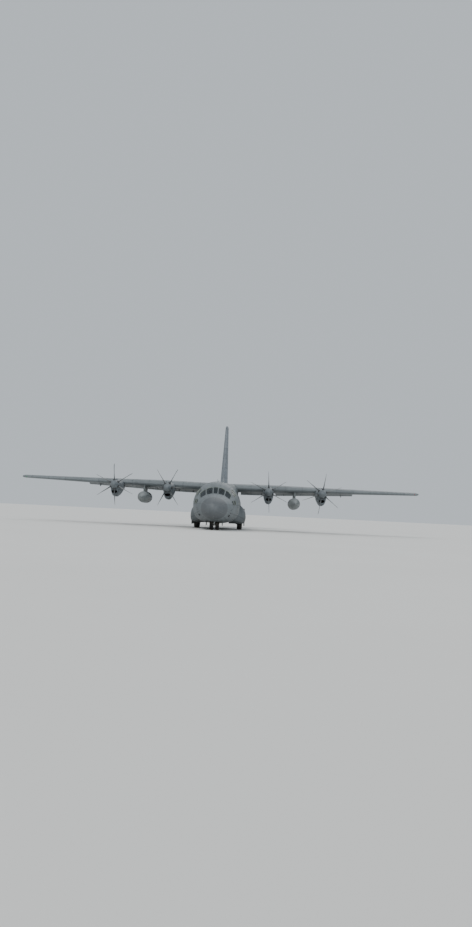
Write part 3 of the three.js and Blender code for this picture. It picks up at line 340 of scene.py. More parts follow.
def pipe(points, radius, sides=8, index=PAINT):
    """A bent pipe along a list of places."""
    across = basis(points[1] - points[0])[1]
    rings = []
    for i, point in enumerate(points):
        along = (points[min(i + 1, len(points) - 1)] - points[max(i - 1, 0)]).normalized()
        across = (across - along * across.dot(along)).normalized()
        rings.append(hoop(point, across, along.cross(across), radius, sides))
    return skin(rings, index)


def moved(mesh, matrix):
    copy = mesh.copy()
    copy.transform(matrix)
    return copy


def joined(*meshes):
    shape = bmesh.new()
    for mesh in meshes:
        shape.from_mesh(mesh)
    whole = bpy.data.meshes.new("shape")
    shape.to_mesh(whole)
    shape.free()
    return whole


def in_scene(name, data):
    """A new object that the scene holds."""
    made = bpy.data.objects.new(name, data)
    bpy.context.scene.collection.objects.link(made)
    return made


def combined(operation, base, *tools):
    """Joins, trims or cuts a closed mesh with others, one after another."""
    for tool in tools:
        for mesh in (base, tool):
            for _ in range(3 - len(mesh.materials)):
                mesh.materials.append(None)
        holders = [in_scene("holder", mesh) for mesh in (base, tool)]
        change = holders[0].modifiers.new("change", "BOOLEAN")
        change.object, change.operation, change.solver = holders[1], operation, "MANIFOLD"
        change.material_mode = "INDEX"
        changed = holders[0].evaluated_get(bpy.context.evaluated_depsgraph_get())
        base = bpy.data.meshes.new_from_object(changed)
        for holder in holders:
            bpy.data.objects.remove(holder)
    return base


cut = functools.partial(combined, "DIFFERENCE")
trimmed = functools.partial(combined, "INTERSECT")
added = functools.partial(combined, "UNION")


def largest(mesh):
    """Keeps only the biggest of a mesh's separate bodies."""
    with editing(mesh) as shape:
        loose, bodies = set(shape.verts), []
        while loose:
            body = [loose.pop()]
            for vertex in body:
                fresh = {edge.other_vert(vertex) for edge in vertex.link_edges} & loose
                loose -= fresh
                body += fresh
            bodies.append(body)
        bodies.sort(key=lambda body: sum(np.ptp([vertex.co for vertex in body], axis=0) ** 2))
        for body in bodies[:-1]:
            bmesh.ops.delete(shape, geom=body, context="VERTS")
    return mesh


def take_normals(mesh, whole):
    """Shades a cut surface as the whole, uncut surface is shaded."""
    tree = KDTree(len(whole.vertices))
    for vertex in whole.vertices:
        tree.insert(vertex.co, vertex.index)
    tree.balance()
    smooth = {}
    normals = [corner.vector.copy() for corner in mesh.corner_normals]
    for face in mesh.polygons:
        for corner in face.loop_indices:
            vertex = mesh.loops[corner].vertex_index
            if vertex not in smooth:
                mean = Vector()
                for _, index, distance in tree.find_n(mesh.vertices[vertex].co, 4):
                    mean += whole.vertices[index].normal / (distance + 0.002)
                smooth[vertex] = mean.normalized()
            if smooth[vertex].dot(face.normal) > 0.8:
                normals[corner] = smooth[vertex]
    mesh.normals_split_custom_set(normals)


def piece(name, finishes, *meshes, body="airframe", slot="airframe", stands_for="", crease=32, whole=None):
    """One visible object of joined meshes that rides on a body and may stand for CAD nodes."""
    mesh = joined(*meshes)
    indices = [min(face.material_index, len(finishes) - 1) for face in mesh.polygons]
    mesh.materials.clear()
    for finish in finishes:
        mesh.materials.append(finish)
    mesh.polygons.foreach_set("material_index", indices)
    mesh.shade_smooth()
    mesh.set_sharp_from_angle(angle=radians(crease))
    if whole:
        take_normals(mesh, whole)
    made = in_scene(name, mesh)
    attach(made, body)
    if stands_for:
        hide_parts(*stands_for.split())
    return made


# Finishes


class Value:
    """A shader socket that adds Math nodes when it is used in an expression."""

    def __init__(self, finish, socket):
        self.finish, self.socket = finish, socket

    def math(self, operation, *others):
        return self.finish.node("Math", {"operation": operation}, self, *others)

    def __add__(self, other):
        return self.math("ADD", other)

    def __sub__(self, other):
        return self.math("SUBTRACT", other)

    def __mul__(self, other):
        return self.math("MULTIPLY", other)

    def __truediv__(self, other):
        return self.math("DIVIDE", other)

    def __rsub__(self, other):
        return self.finish.node("Math", {"operation": "SUBTRACT"}, other, self)

    def __abs__(self):
        return self.math("ABSOLUTE")

    __radd__ = __add__
    __rmul__ = __mul__

    def step(self, low, high, start=0, end=1):
        """Turns smoothly from start to end as the value goes from low to high."""
        return self.finish.node("MapRange", {"interpolation_type": "SMOOTHSTEP"}, self, low, high, start, end)

    def nearest(self, spacing):
        """Distance to the nearest multiple of a spacing."""
        return abs((self / spacing + 0.5).math("FRACT") - 0.5) * spacing


class Finish:
    """A material built from expressions. Positions are those of the model at rest, in metres."""

    def __init__(self, name, **constants):
        self.material = bpy.data.materials.new(name)
        self.material.use_nodes = True
        self.tree = self.material.node_tree
        self.shader = self.tree.nodes["Principled BSDF"]
        for key, value in constants.items():
            self.shader.inputs[key.replace("_", " ")].default_value = value
        self.point = self.node("TexCoord", {"output": "Object"})
        self.x, self.y, self.z = (self.node("SeparateXYZ", {"output": axis}, self.point) for axis in "XYZ")

    def node(self, kind, settings, *values, **named):
        """A node of a kind, with its settings and the values or links of its sockets; gives one output."""
        made = self.tree.nodes.new("ShaderNode" + kind)
        for key, value in settings.items():
            if key != "output":
                setattr(made, key, value)
        open_inputs = [socket for socket in made.inputs if socket.enabled]
        for where, value in [*enumerate(values), *named.items()]:
            socket = open_inputs[where] if isinstance(where, int) else made.inputs[where]
            if isinstance(value, Value):
                self.tree.links.new(value.socket, socket)
            else:
                socket.default_value = value
        if "output" in settings:
            return Value(self, made.outputs[settings["output"]])
        return Value(self, next(socket for socket in made.outputs if socket.enabled))

    def noise(self, scale, detail=4, stretch=(1, 1, 1), roughness=0.55):
        spot = self.node("VectorMath", {"operation": "MULTIPLY"}, self.point, stretch)
        return self.node("TexNoise", {}, Vector=spot, Scale=scale, Detail=detail, Roughness=roughness)

    def mix(self, share, first, second):
        return self.node("Mix", {"data_type": "RGBA"}, share, first, second)

    def bump(self, height, distance, strength):
        return self.node("Bump", {}, Height=height, Distance=distance, Strength=strength)

    def end(self, **links):
        for key, value in links.items():
            self.tree.links.new(value.socket, self.shader.inputs[key.replace("_", " ")])
        return self.material


def rgb(red, green, blue):
    """A colour from screen values of 0 to 255."""
    shares = [value / 255 for value in (red, green, blue)]
    return (*(share / 12.92 if share <= 0.04045 else ((share + 0.055) / 1.055) ** 2.4 for share in shares), 1)


def tint(colour, share, more=0.0):
    """A darker or paler kind of a colour."""
    return (*(min(1, value * share + more) for value in colour[:3]), 1)


def airframe_paint(name, colour, across, spacing, soot=None, grime=0.35, seams=1.0):
    """Matt service paint over riveted panels. across gives the second panel coordinate from the finish."""
    paint = Finish(name, Specular_IOR_Level=0.35)
    rows, columns = spacing
    second = across(paint)
    cell = paint.node("CombineXYZ", {}, (paint.y / rows).math("FLOOR"), (second / columns).math("FLOOR"), 0)
    patch = paint.node("TexWhiteNoise", {"noise_dimensions": "2D"}, cell)
    rivet_pitch, rivets_from_seam = 0.03, 0.014
    seam = paint.y.nearest(rows).math("MINIMUM", second.nearest(columns))
    line = seam.step(0.002, 0.005, 1, 0)
    dust = seam.step(0.0, 0.045, 1, 0)
    rivet_row = abs(seam - rivets_from_seam).step(0.0012, 0.0035, 1, 0)
    heads = [axis.nearest(rivet_pitch).step(0.002, 0.0045, 1, 0) for axis in (paint.y, second)]
    rivet = rivet_row * heads[0] * heads[1]
    cloud = paint.noise(0.9, 5)
    mottle = paint.noise(7, 6, roughness=0.65)
    streak = paint.noise(5, 4, (1.4, 0.16, 1.4))
    run = paint.noise(6, 4, (1.6, 1.6, 0.18))
    tone = (cloud - 0.5) * 1.1 + (mottle - 0.5) * 0.7 + (streak - 0.5) * 0.5 + (run - 0.5) * 0.4
    tone = tone + (patch - 0.5) * 0.2 + 0.5
    shade = paint.mix(tone, tint(colour, 0.7), tint(colour, 1.34, 0.006))
    stain = dust * cloud.step(0.35, 0.7) * 0.3 + mottle.step(0.58, 0.75) * grime * 0.5
    shade = paint.mix(stain, shade, tint(colour, 0.45))
    shade = paint.mix(line * 0.62 * seams, shade, tint(colour, 0.3))
    wear = mottle.step(0.62, 0.72) * streak.step(0.5, 0.62) * 0.35
    shade = paint.mix(wear, shade, tint(colour, 1.9, 0.02))
    if soot:
        shade = paint.mix(soot(paint) * streak.step(0.25, 0.65, 0.45, 1), shade, rgb(38, 36, 34))
    rough = 0.52 + (mottle - 0.5) * 0.22 + (cloud - 0.5) * 0.16 + dust * 0.1
    height = paint.noise(3.2, 2, (1, 0.8, 1)) * 0.35 - line * seams + rivet * 0.35 + mottle * 0.05
    return paint.end(Base_Color=shade, Roughness=rough, Normal=paint.bump(height, 0.004, 0.55))


def plain_paint(name, colour, roughness=0.5, metallic=0.0, scale=14, spread=0.22, dirt=0.3, depth=0.0006):
    """Painted or bare metal fittings with mottling, dirt and scuffs."""
    paint = Finish(name, Metallic=metallic)
    mottle = paint.noise(scale, 6, roughness=0.65)
    cloud = paint.noise(scale / 5, 4)
    scratch = paint.noise(scale * 2.4, 3, (1, 0.12, 1))
    shade = paint.mix((mottle - 0.5) * 1.4 + 0.5, tint(colour, 1 - spread), tint(colour, 1 + spread))
    shade = paint.mix(cloud.step(0.5, 0.72) * dirt, shade, rgb(52, 48, 42))
    rough = roughness + (mottle - 0.5) * 0.25 + scratch.step(0.55, 0.7) * 0.12
    return paint.end(Base_Color=shade, Roughness=rough, Normal=paint.bump(mottle + scratch * 0.5, depth, 0.6))


def around_fuselage(paint):
    """Metres round the skin from the widest line."""
    radius = 1.05
    return (paint.z - BARREL.mid * SCALE).math("ARCTAN2", paint.x) * radius


def along_x(paint):
    return paint.x + 0.12


def along_z(paint):
    return paint.z + 0.1


def wing_soot(paint):
    """Exhaust stains under the wing behind each engine."""
    inner, outer = (abs(abs(paint.x) - x * SCALE).step(0.1, 0.42, 1, 0) for _, x, _ in ENGINES)
    up = paint.node("SeparateXYZ", {"output": "Z"}, paint.node("NewGeometry", {"output": "Normal"}))
    return inner.math("MAXIMUM", outer) * paint.y.step(-0.6, 0.5) * up.step(-0.5, 0.2, 1, 0) * 0.8


def nacelle_soot(paint):
    return paint.y.step(-0.8, -0.15) * 0.85


def belly_dirt(paint):
    return paint.z.step(0.3, 0.85, 0.6, 0) * paint.y.step(-5, -1, 0.35, 1)


def blade_finish():
    """Dark composite blades with a worn metal strip along the leading edge."""
    paint = Finish("blade_composite")
    mottle = paint.noise(16, 5)
    shade = paint.mix(mottle, rgb(46, 49, 51), rgb(66, 70, 72))
    edge = (paint.y - place(0, PROPELLER.s, 0).y + 0.045).step(-0.04, 0.0, 1, 0)
    shade = paint.mix(edge * mottle.step(0.35, 0.6, 0.25, 0.75), shade, rgb(118, 120, 120))
    fibre = paint.noise(60, 3, (1, 0.2, 1))
    rough = 0.42 + (mottle - 0.5) * 0.25
    return paint.end(Base_Color=shade, Roughness=rough, Normal=paint.bump(fibre, 0.0005, 0.4))


def tyre_finish():
    paint = Finish("tyre_rubber", Specular_IOR_Level=0.3)
    mottle = paint.noise(24, 6)
    dust = paint.noise(5, 4).step(0.4, 0.7) * 0.5 + paint.z.step(0.0, 0.1, 0.5, 0)
    shade = paint.mix(mottle, rgb(26, 26, 27), rgb(44, 44, 44))
    shade = paint.mix(dust * 0.7, shade, rgb(108, 101, 90))
    rough = 0.78 + (mottle - 0.5) * 0.2
    return paint.end(Base_Color=shade, Roughness=rough, Normal=paint.bump(mottle, 0.0012, 0.6))


def glass_finish(name, colour, alpha):
    paint = Finish(name, IOR=1.5, Specular_IOR_Level=0.6)
    smear = paint.noise(6, 5, (1, 1, 0.4))
    shade = paint.mix(smear, colour, tint(colour, 1.5, 0.01))
    cover = smear.step(0.3, 0.8, alpha, min(1, alpha + 0.12))
    return paint.end(Base_Color=shade, Roughness=smear.step(0.4, 0.8, 0.04, 0.16), Alpha=cover)


def lamp_finish(name, colour):
    paint = Finish(name, IOR=1.5, Roughness=0.12, Specular_IOR_Level=0.7)
    ripple = paint.noise(90, 2)
    shade = paint.mix(ripple, colour, tint(colour, 1.5))
    return paint.end(Base_Color=shade, Normal=paint.bump(ripple, 0.0006, 0.5))


def seat_finish():
    """Woven seat cloth."""
    paint = Finish("seat_cloth", Sheen_Weight=0.3)
    weave = paint.x.nearest(0.004).step(0.0, 0.002) * paint.z.nearest(0.004).step(0.0, 0.002)
    mottle = paint.noise(18, 5)
    shade = paint.mix(mottle, rgb(52, 58, 48), rgb(84, 88, 74))
    rough = 0.85 + (mottle - 0.5) * 0.15
    return paint.end(Base_Color=shade, Roughness=rough, Normal=paint.bump(weave + mottle, 0.001, 0.7))


skin_paint = airframe_paint("fuselage_paint", rgb(103, 109, 112), around_fuselage, (1.03, 0.47), belly_dirt)
wing_paint = airframe_paint("wing_paint", rgb(101, 107, 110), along_x, (0.62, 0.86), wing_soot)
tail_paint = airframe_paint("tail_paint", rgb(106, 112, 118), along_z, (0.7, 0.58))
stabiliser_paint = airframe_paint("stabiliser_paint", rgb(102, 108, 112), along_x, (0.55, 0.66))
nacelle_paint = airframe_paint("nacelle_paint", rgb(96, 102, 106), along_z, (0.42, 0.3), nacelle_soot)
tank_paint = airframe_paint("tank_paint", rgb(122, 127, 128), along_z, (0.76, 5), seams=0.8)
spinner_paint = airframe_paint("spinner_paint", rgb(96, 102, 106), along_z, (7, 9), grime=0.5, seams=0)
radome_paint = airframe_paint("radome_paint", rgb(84, 88, 91), around_fuselage, (5, 5), grime=0.6, seams=0)
cabin_paint = plain_paint("cabin_paint", rgb(128, 136, 124), 0.7)
well_paint = plain_paint("well_paint", rgb(176, 178, 172), 0.6, dirt=0.55)
fitting_paint = plain_paint("fitting_paint", rgb(96, 101, 103), 0.5)
dark_fitting = plain_paint("dark_fitting", rgb(38, 40, 42), 0.55)
leg_paint = plain_paint("leg_paint", rgb(168, 170, 166), 0.45, dirt=0.5, scale=22)
wheel_paint = plain_paint("wheel_paint", rgb(150, 153, 152), 0.5, dirt=0.55, scale=26)
steel = plain_paint("steel", rgb(150, 152, 152), 0.32, 0.9, scale=30, spread=0.12)
chrome = plain_paint("chrome", rgb(205, 208, 210), 0.12, 1.0, scale=30, spread=0.05, dirt=0.15, depth=0.0002)
hot_steel = plain_paint("hot_steel", rgb(86, 74, 64), 0.45, 0.85, scale=18, spread=0.3, dirt=0.6)
strip_cover = plain_paint("strip_cover", rgb(150, 156, 128), 0.4, scale=30, spread=0.1)
# Near-black lining: real soot inside the exhaust pipes, and painted shade inside the intake mouths, where the
# duct runs on into the dark.
soot_black = plain_paint("soot_black", rgb(40, 39, 38), 0.85)
deck_paint = plain_paint("deck_paint", rgb(84, 88, 82), 0.75, scale=18, dirt=0.5)
blade_composite = blade_finish()
tyre_rubber = tyre_finish()
seat_cloth = seat_finish()
cockpit_glazing = glass_finish("cockpit_glazing", rgb(30, 38, 42), 0.62)
# Near-opaque dark glass: on the portholes and the crew door's porthole the darkness is painted shade of the
# dim room behind; on the cockpit screens it is their own dark glass.
porthole_glazing = glass_finish("porthole_glazing", rgb(20, 25, 28), 0.9)
clear_lens = lamp_finish("clear_lens", rgb(196, 202, 204))
red_lens = lamp_finish("red_lens", rgb(120, 18, 16))
green_lens = lamp_finish("green_lens", rgb(20, 118, 66))

# Fuselage


def oval(angle, full):
    """Shares of width and height at an angle round a section, and whether it is in the fuller part below."""
    low = sin(angle) < -1e-9
    power = 2 / full if low else 1
    return signed_power(cos(angle), power), signed_power(sin(angle), power), low


def skin_place(s, angle, inset=0.0):
    """A place on the skin at an angle above the widest line, drawn in by inset."""
    row = FUSELAGE(s)
    across, up, low = oval(angle, row.full)
    height = (row.mid - row.bottom if low else row.top - row.mid) - inset
    return place(across * (row.half - inset), s, row.mid + up * height)


def skin_foot(s, angle, sunk):
    """A place just under the skin, and the direction out of the skin there."""
    return skin_place(s, angle, sunk), (skin_place(s, angle) - skin_place(s, angle, 0.5)).normalized()


def skin_ring(outline, inset):
    """Places on the skin for an outline of stations and angles."""
    return [skin_place(s, angle, inset) for s, angle in outline]


def fuselage_loft(start, end, inset=0.0, index=PAINT):
    inner = [s for s in STATIONS if start + 0.03 < s < end - 0.03]
    angles = [TURN * i / SKIN_SIDES for i in range(SKIN_SIDES)]
    return skin([[skin_place(s, angle, inset) for angle in angles] for s in (start, *inner, end)], index)


def main_well(sign, near, far, room=0.0, index=WELL):
    """The well of one side's main wheels, between two distances from the middle line."""
    return block((near * sign, far * sign), (MAIN_WELL.start - room, MAIN_WELL.end + room),
                 (0, MAIN_WELL.top + room), index)


def nose_well(room=0.0, index=WELL):
    half = NOSE_WELL.half + room
    stations = (NOSE_WELL.start - room, NOSE_WELL.end + room)
    return block((-half, half), stations, (0, NOSE_WELL.top + room), index)


def hollow(start, end, inset=SKIN):
    """The room inside the fuselage between two stations."""
    above = block((-OUT, OUT), (start - 1, end + 1), (UNDERFLOOR, 6), INSIDE)
    wells = [main_well(sign, MAIN_WELL.near - HOUSING, OUT, HOUSING, INSIDE) for _, sign in SIDES]
    return cut(trimmed(fuselage_loft(start, end, inset, INSIDE), above), *wells, nose_well(HOUSING, INSIDE))


def window_outline(start, end, low, high, grow=0.0, count=40):
    """A rounded four-sided outline on the skin, in stations and angles."""
    radius, roundness = 1.8, 0.4
    middle, half = (start + end) / 2, (end - start) / 2 + grow
    centre, sweep = radians((low + high) / 2), radians((high - low) / 2) + grow / radius
    turns = [TURN * (i + 0.5) / count for i in range(count)]
    turns = [turn - 0.225 * sin(4 * turn) for turn in turns]
    return [(middle + half * signed_power(cos(turn), roundness),
             centre + sweep * signed_power(sin(turn), roundness)) for turn in turns]


def porthole(s, angle, *radii):
    """Round outlines on the skin about one place."""
    return [[(s + radius * a, angle + radius * b / BARREL.half) for a, b in circle(32)] for radius in radii]


def skin_pane(outline, outer, inner):
    """A thin curved pane that follows the skin between two insets."""
    s0 = sum(s for s, _ in outline) / len(outline)
    a0 = sum(angle for _, angle in outline) / len(outline)
    rings, outwards = [], (0.02, 0.35, 0.7, 1)
    for inset, shares in ((outer, outwards), (inner, outwards[::-1])):
        for share in shares:
            drawn = [(between(s0, s, share), between(a0, angle, share)) for s, angle in outline]
            rings.append(skin_ring(drawn, inset))
    return skin(rings)


def skin_rim(inner_outline, outer_outline, raised, sunk):
    """A raised band on the skin between two outlines."""
    return skin([skin_ring(inner_outline, sunk), skin_ring(inner_outline, -raised),
                 skin_ring(outer_outline, -raised * 0.5), skin_ring(outer_outline, sunk)], round_trip=True)


def skin_frame(s, half, outer, inner, angles, index=PAINT):
    """A frame of four-sided section that follows the skin over a run of angles in degrees."""
    section = ((s - half, outer), (s + half, outer), (s + half, inner), (s - half, inner))
    return skin([[skin_place(spot, radians(angle), inset) for spot, inset in section] for angle in angles],
                index)


def mirrored_windows():
    for start, end, low, high in WINDOWS:
        yield start, end, low, high
        if low + high != 180:
            yield start, end, 180 - high, 180 - low


def door_block(door, sign, gap, sill_gap):
    """The block that holds a side door."""
    return block((SIDE_DOOR_NEAR * sign, OUT * sign), (door.start + gap, door.end - gap),
                 (door.sill + sill_gap, door.head - gap), INSIDE)


def hinge_pins(start, end, outwards, inwards=0.044):
    """Pins at both ends of a hinge line, and the holes for them."""
    along = (end - start).normalized()
    pins, holes = [], []
    for tip, sign in ((start, 1), (end, -1)):
        outer = tip - along * sign * outwards * SCALE
        pins.append(rod(outer, tip + along * sign * inwards * SCALE, PIN))
        holes.append(rod(outer, tip + along * sign * (inwards + 0.004) * SCALE, PIN_HOLE))
    return pins, holes


def forward_section():
    windows = [skin([skin_ring(window_outline(*row), inset) for inset in (-0.12, 0.24)], INSIDE)
               for row in mirrored_windows()]
    forward = cut(fuselage_loft(RADOME_END + SEAT_GAP, FORWARD_END - SEAT_GAP), hollow(CAVITY.start, 7),
                  nose_well(), *windows)
    hinge = [place(CREW_DOOR.hinge_x + (s - CREW_DOOR.start) * CREW_DOOR.hinge_slope, s, CREW_DOOR.hinge)
             for s in (CREW_DOOR.start, CREW_DOOR.end)]
    pins, holes = hinge_pins(*hinge, 0.044, 0.048 + CREW_DOOR.gap)
    whole = fuselage_loft(RADOME_END, FORWARD_END)
    door = cut(trimmed(forward, door_block(CREW_DOOR, 1, CREW_DOOR.gap, CREW_DOOR.sill_gap)), *holes)
    forward = largest(cut(forward, door_block(CREW_DOOR, 1, 0, -0.015)))
    piece("forward_skin", (skin_paint, cabin_paint, well_paint), forward, *pins,
          stands_for="forward_fuselage nose_wheel_bay", whole=whole)
    crew_door(largest(door), whole)


def crew_door(panel, whole):
    """The crew door with the steps, the handle and the porthole on it."""
    middle = (CREW_DOOR.start + CREW_DOOR.end) / 2
    row, wide = FUSELAGE(middle), about(middle, CREW_DOOR.step_half)
    steps = []
    for z in (1.3, 1.6, 1.9):
        depth = max(0.0, (row.mid - z) / (row.mid - row.bottom))
        wall = (row.half - SKIN) * (1 - depth ** row.full) ** (1 / row.full)
        steps.append(soft_block((wall - 0.07, wall + 0.03), wide, about(z, 0.02), 0.012, INSIDE))
    grip = skin_place(middle + 0.24, radians(-17), 0.02)
    handle = [grip + Vector(shift) for shift in ((0, 0, 0), (0.022, 0, 0), (0.022, -0.07, 0), (0, -0.07, 0))]
    pane, inner, outer = porthole(middle, CREW_DOOR.porthole, 0.102, 0.1, 0.13)
    piece("crew_door_panel", (skin_paint, cabin_paint, dark_fitting), panel, *steps,
          pipe(handle, 0.012, index=THIRD), skin_rim(inner, outer, 0.01, 0.02), body="crew_door",
          stands_for="crew_door", whole=whole)
    # The porthole's near-opaque dark glass is painted shade of the dim room behind it.
    piece("crew_door_pane", (porthole_glazing,), skin_pane(pane, -0.003, 0.015), body="crew_door",
          slot="glazing")


def centre_section():
    saddle = wing_loft([(x, 1) for x in (-WING.kink, 0, WING.kink)], SEAT_GAP)
    centre = cut(fuselage_loft(FORWARD_END + SEAT_GAP, CENTRE_END - SEAT_GAP), hollow(4, 19), saddle,
                 *(main_well(sign, MAIN_WELL.near, OUT) for _, sign in SIDES))
    whole = fuselage_loft(FORWARD_END, CENTRE_END)
    for side, sign in SIDES:
        door = trimmed(centre, door_block(TROOP_DOOR, sign, TROOP_DOOR.gap, TROOP_DOOR.gap))
        piece(f"troop_door_panel_{side}", (skin_paint, cabin_paint), largest(door),
              stands_for=f"troop_door_{side}", whole=whole)
    centre = cut(centre, *(door_block(TROOP_DOOR, sign, 0, 0) for _, sign in SIDES))
    piece("centre_skin", (skin_paint, cabin_paint, well_paint), largest(centre),
          stands_for="centre_fuselage", whole=whole)


def ramp_outline(front, behind, rise):
    """The cargo ramp's outline seen from the side, in stations and heights."""
    start, end = RAMP.s + front, RAMP.end + behind
    return ((start, 0), (end + 1, 0), (end + 0.01, 2.08), (end - 0.05, RAMP.lip + rise),
            (RAMP.s + 0.02, HOLD.floor + rise), (start, HOLD.floor + rise))


def ramp_front(line, room):
    """The rounded front of the ramp about its hinge line."""
    past = PORT * room * SCALE
    return rod(line[0] - past, line[1] + past, RAMP.swing + room, sides=48, index=INSIDE)


def door_plan(gap):
    """The cargo door's outline seen from above, grown by a gap."""
    start, end = CARGO_DOOR.start - gap, CARGO_DOOR.s + 0.03 + 3 * gap
    wide, narrow = CARGO_DOOR.half + gap, CARGO_DOOR.end_half + gap
    return (-wide, start), (wide, start), (narrow, end), (-narrow, end)


def rear_section():
    ramp_line = [place(sign * RAMP.half, RAMP.s, RAMP.z) for sign in (-1, 1)]
    door_line = [place(sign * (CARGO_DOOR.end_half + 0.01), CARGO_DOOR.s, CARGO_DOOR.z) for sign in (-1, 1)]
    ramp_pins, ramp_holes = hinge_pins(*ramp_line, 0.12)
    door_pins, door_holes = hinge_pins(*door_line, 0.12)
    whole = fuselage_loft(CENTRE_END, LENGTH)
    half = RAMP.half + RUNNING_GAP
    opening = trimmed(prism(ramp_outline(0, 0.02, 0.2), seen_from_side, -half, half, INSIDE),
                      block((-OUT, OUT), (RAMP.s - 0.1, CARGO_DOOR.start + 0.02), (0, 2.6), INSIDE))
    door_hole = trimmed(prism(door_plan(RUNNING_GAP), place, CARGO_DOOR.low, CARGO_DOOR.high, INSIDE),
                        block((-OUT, OUT), (21, 26), (0, CARGO_DOOR.high), INSIDE))
    rear = cut(fuselage_loft(CENTRE_END + SEAT_GAP, LENGTH), hollow(16, CAVITY.end),
               stabiliser_loft(SEAT_GAP), ramp_front(ramp_line, RUNNING_GAP), opening, door_hole)
    piece("rear_skin", (skin_paint, cabin_paint), largest(rear), *ramp_pins, *door_pins,
          stands_for="rear_fuselage", whole=whole)
    outer = fuselage_loft(17.6, 27)
    cargo_ramp(outer, ramp_line, ramp_holes, whole)
    cargo_door(outer, door_holes, whole)


def cargo_ramp(outer, line, holes, whole):
    ramp = trimmed(outer, prism(ramp_outline(-0.04, 0, 0), seen_from_side, -RAMP.half, RAMP.half, INSIDE))
    corner = block((-2, 2), (RAMP.s - 0.1, RAMP.s + 0.15), (0, RAMP.z), INSIDE)
    ramp = cut(ramp, cut(corner, ramp_front(line, 0)), *holes)
    start, end = RAMP.s + 0.02, RAMP.end - 0.05
    treads = []
    for s in (18.3 + 0.2 * i for i in range(12)):
        z = between(HOLD.floor, RAMP.lip, (s - start) / (end - start))
        for x in (-0.75, 0.75):
            treads.append(soft_block(about(x, 0.5), about(s, 0.02), (z - 0.01, z + 0.03), 0.006, THIRD))
    piece("cargo_ramp_panel", (skin_paint, deck_paint, steel), largest(ramp), *treads, body="cargo_ramp",
          stands_for="cargo_ramp", whole=whole)


def cargo_door(outer, holes, whole):
    door = trimmed(outer, prism(door_plan(0), place, CARGO_DOOR.low, 4.1, INSIDE),
                   block((-OUT, OUT), (20, 26), (0, 4)))
    door = cut(door, fuselage_loft(20.8, 26, CARGO_DOOR.depth, INSIDE), *holes)
    ribs = [skin_frame(s, 0.03, 0.15, 0.22, range(-114, -65, 4), INSIDE) for s in (21.7, 22.6, 23.5, 24.4)]
    piece("cargo_door_panel", (skin_paint, cabin_paint), largest(door), *ribs, body="cargo_door",
          stands_for="cargo_door", whole=whole)


# Wing and tail sections


def line_block(start, end, extra, ahead):
    """A block along a hinge line, past its ends by extra and from ahead of the line to far behind it."""
    behind, tall = 3, 1.5
    x = (end - start).normalized()
    y = (BACK - x * x.y).normalized()
    z = x.cross(y)
    past = x * extra * SCALE
    corners = ((start - past, -ahead), (start - past, behind), (end + past, behind), (end + past, -ahead))
    return skin([[side + (y * back + z * height) * SCALE for side, back in corners]
                 for height in (-tall, tall)])


def wing_at(x):
    """The wing's sizes at a distance from the middle line."""
    share = max(0.0, (abs(x) - WING.kink) / (WING.half - WING.kink))
    chord = between(WING.root_chord, WING.tip_chord, share)
    return Sizes(chord=chord, nose=WING.nose + (WING.root_chord - chord) * 0.25,
                 thick=between(WING.root_thick, WING.tip_thick, share),
                 set=radians(WING.root_set * (1 - share)), z=WING.middle + WING.rise * abs(x))


def half_thickness(share, thick):
    return 5 * thick * (0.2969 * sqrt(share) - 0.126 * share - 0.3516 * share ** 2
                        + 0.2843 * share ** 3 - 0.1036 * share ** 4)


def wing_place(x, share, height=0.0):
    """A place at a share of the wing's chord and a height off its camber line."""
    at = wing_at(x)
    back = (share - 0.25) * at.chord
    up = 4 * WING.camber * share * (1 - share) * at.chord + height
    s = at.nose + 0.25 * at.chord + back * cos(at.set) + up * sin(at.set)
    return place(x, s, at.z - back * sin(at.set) + up * cos(at.set))


EDGE = 0.012
DRAWN_TO = 0.4  # the share of its chord that a shrunken section draws in to
CHORD_SHARES = [*(0.5 * (1 + cos(pi * i / 26)) for i in range(26)), 0]


def section_ring(spot, chord, thick, grow=0.0, shrink=1.0):
    """Points round a wing or tail section; spot turns a share of the chord and a height into a place."""
    def side(sign):
        ring = []
        for share in CHORD_SHARES:
            half = max(EDGE, half_thickness(share, thick) * chord * shrink) if share else 0
            reach = 1 + grow / chord if share == 1 else -grow / chord if share == 0 else share
            drawn = DRAWN_TO + (reach - DRAWN_TO) * (0.4 + 0.6 * shrink)
            ring.append(spot(drawn, sign * (half + grow) if share else 0))
        return ring
    return side(1) + side(-1)[-2::-1]


def wing_loft(stations, grow=0.0):
    rings = []
    for x, shrink in sorted(stations):
        at = wing_at(x)
        rings.append(section_ring(functools.partial(wing_place, x), at.chord, at.thick, grow, shrink))
    return skin(rings)


def engine_wing(sign):
    """The wing as far as the outer flap, grown by a seat gap, to be cut from what hangs below it."""
    return wing_loft([(x * sign, 1) for x in (0, WING.kink, 9.6, 13.77)], SEAT_GAP)


def tail_ring(shape, share, spot, grow=0.0, shrink=1.0):
    """A section of the stabiliser or fin at a share of its span.

    spot turns a distance off the surface's plane and a station into a place.
    """
    nose, tail = (between(root, tip, abs(share)) for root, tip in zip(shape.root, shape.tip))
    return section_ring(lambda back, off: spot(off, between(nose, tail, back)), tail - nose, shape.thick,
                        grow, shrink)


def rounded_end(reach):
    """Distances from a tip and the shares of the section there, for a softly rounded tip."""
    return [(reach * (1 - sin(angle)), max(0.3, cos(angle) ** 0.6)) for angle in even_steps(0, pi / 2, 6)]


def stabiliser_loft(grow=0.0):
    tips = [(1 - reach / STABILISER.half, shrink) for reach, shrink in rounded_end(STABILISER.tip_round)]
    rings = []
    for share, shrink in [(-share, shrink) for share, shrink in reversed(tips)] + [(0, 1)] + tips:
        def spot(up, s, x=share * STABILISER.half):
            return place(x, s, STABILISER.z + up)

        rings.append(tail_ring(STABILISER, share, spot, grow, shrink))
    return skin(rings)


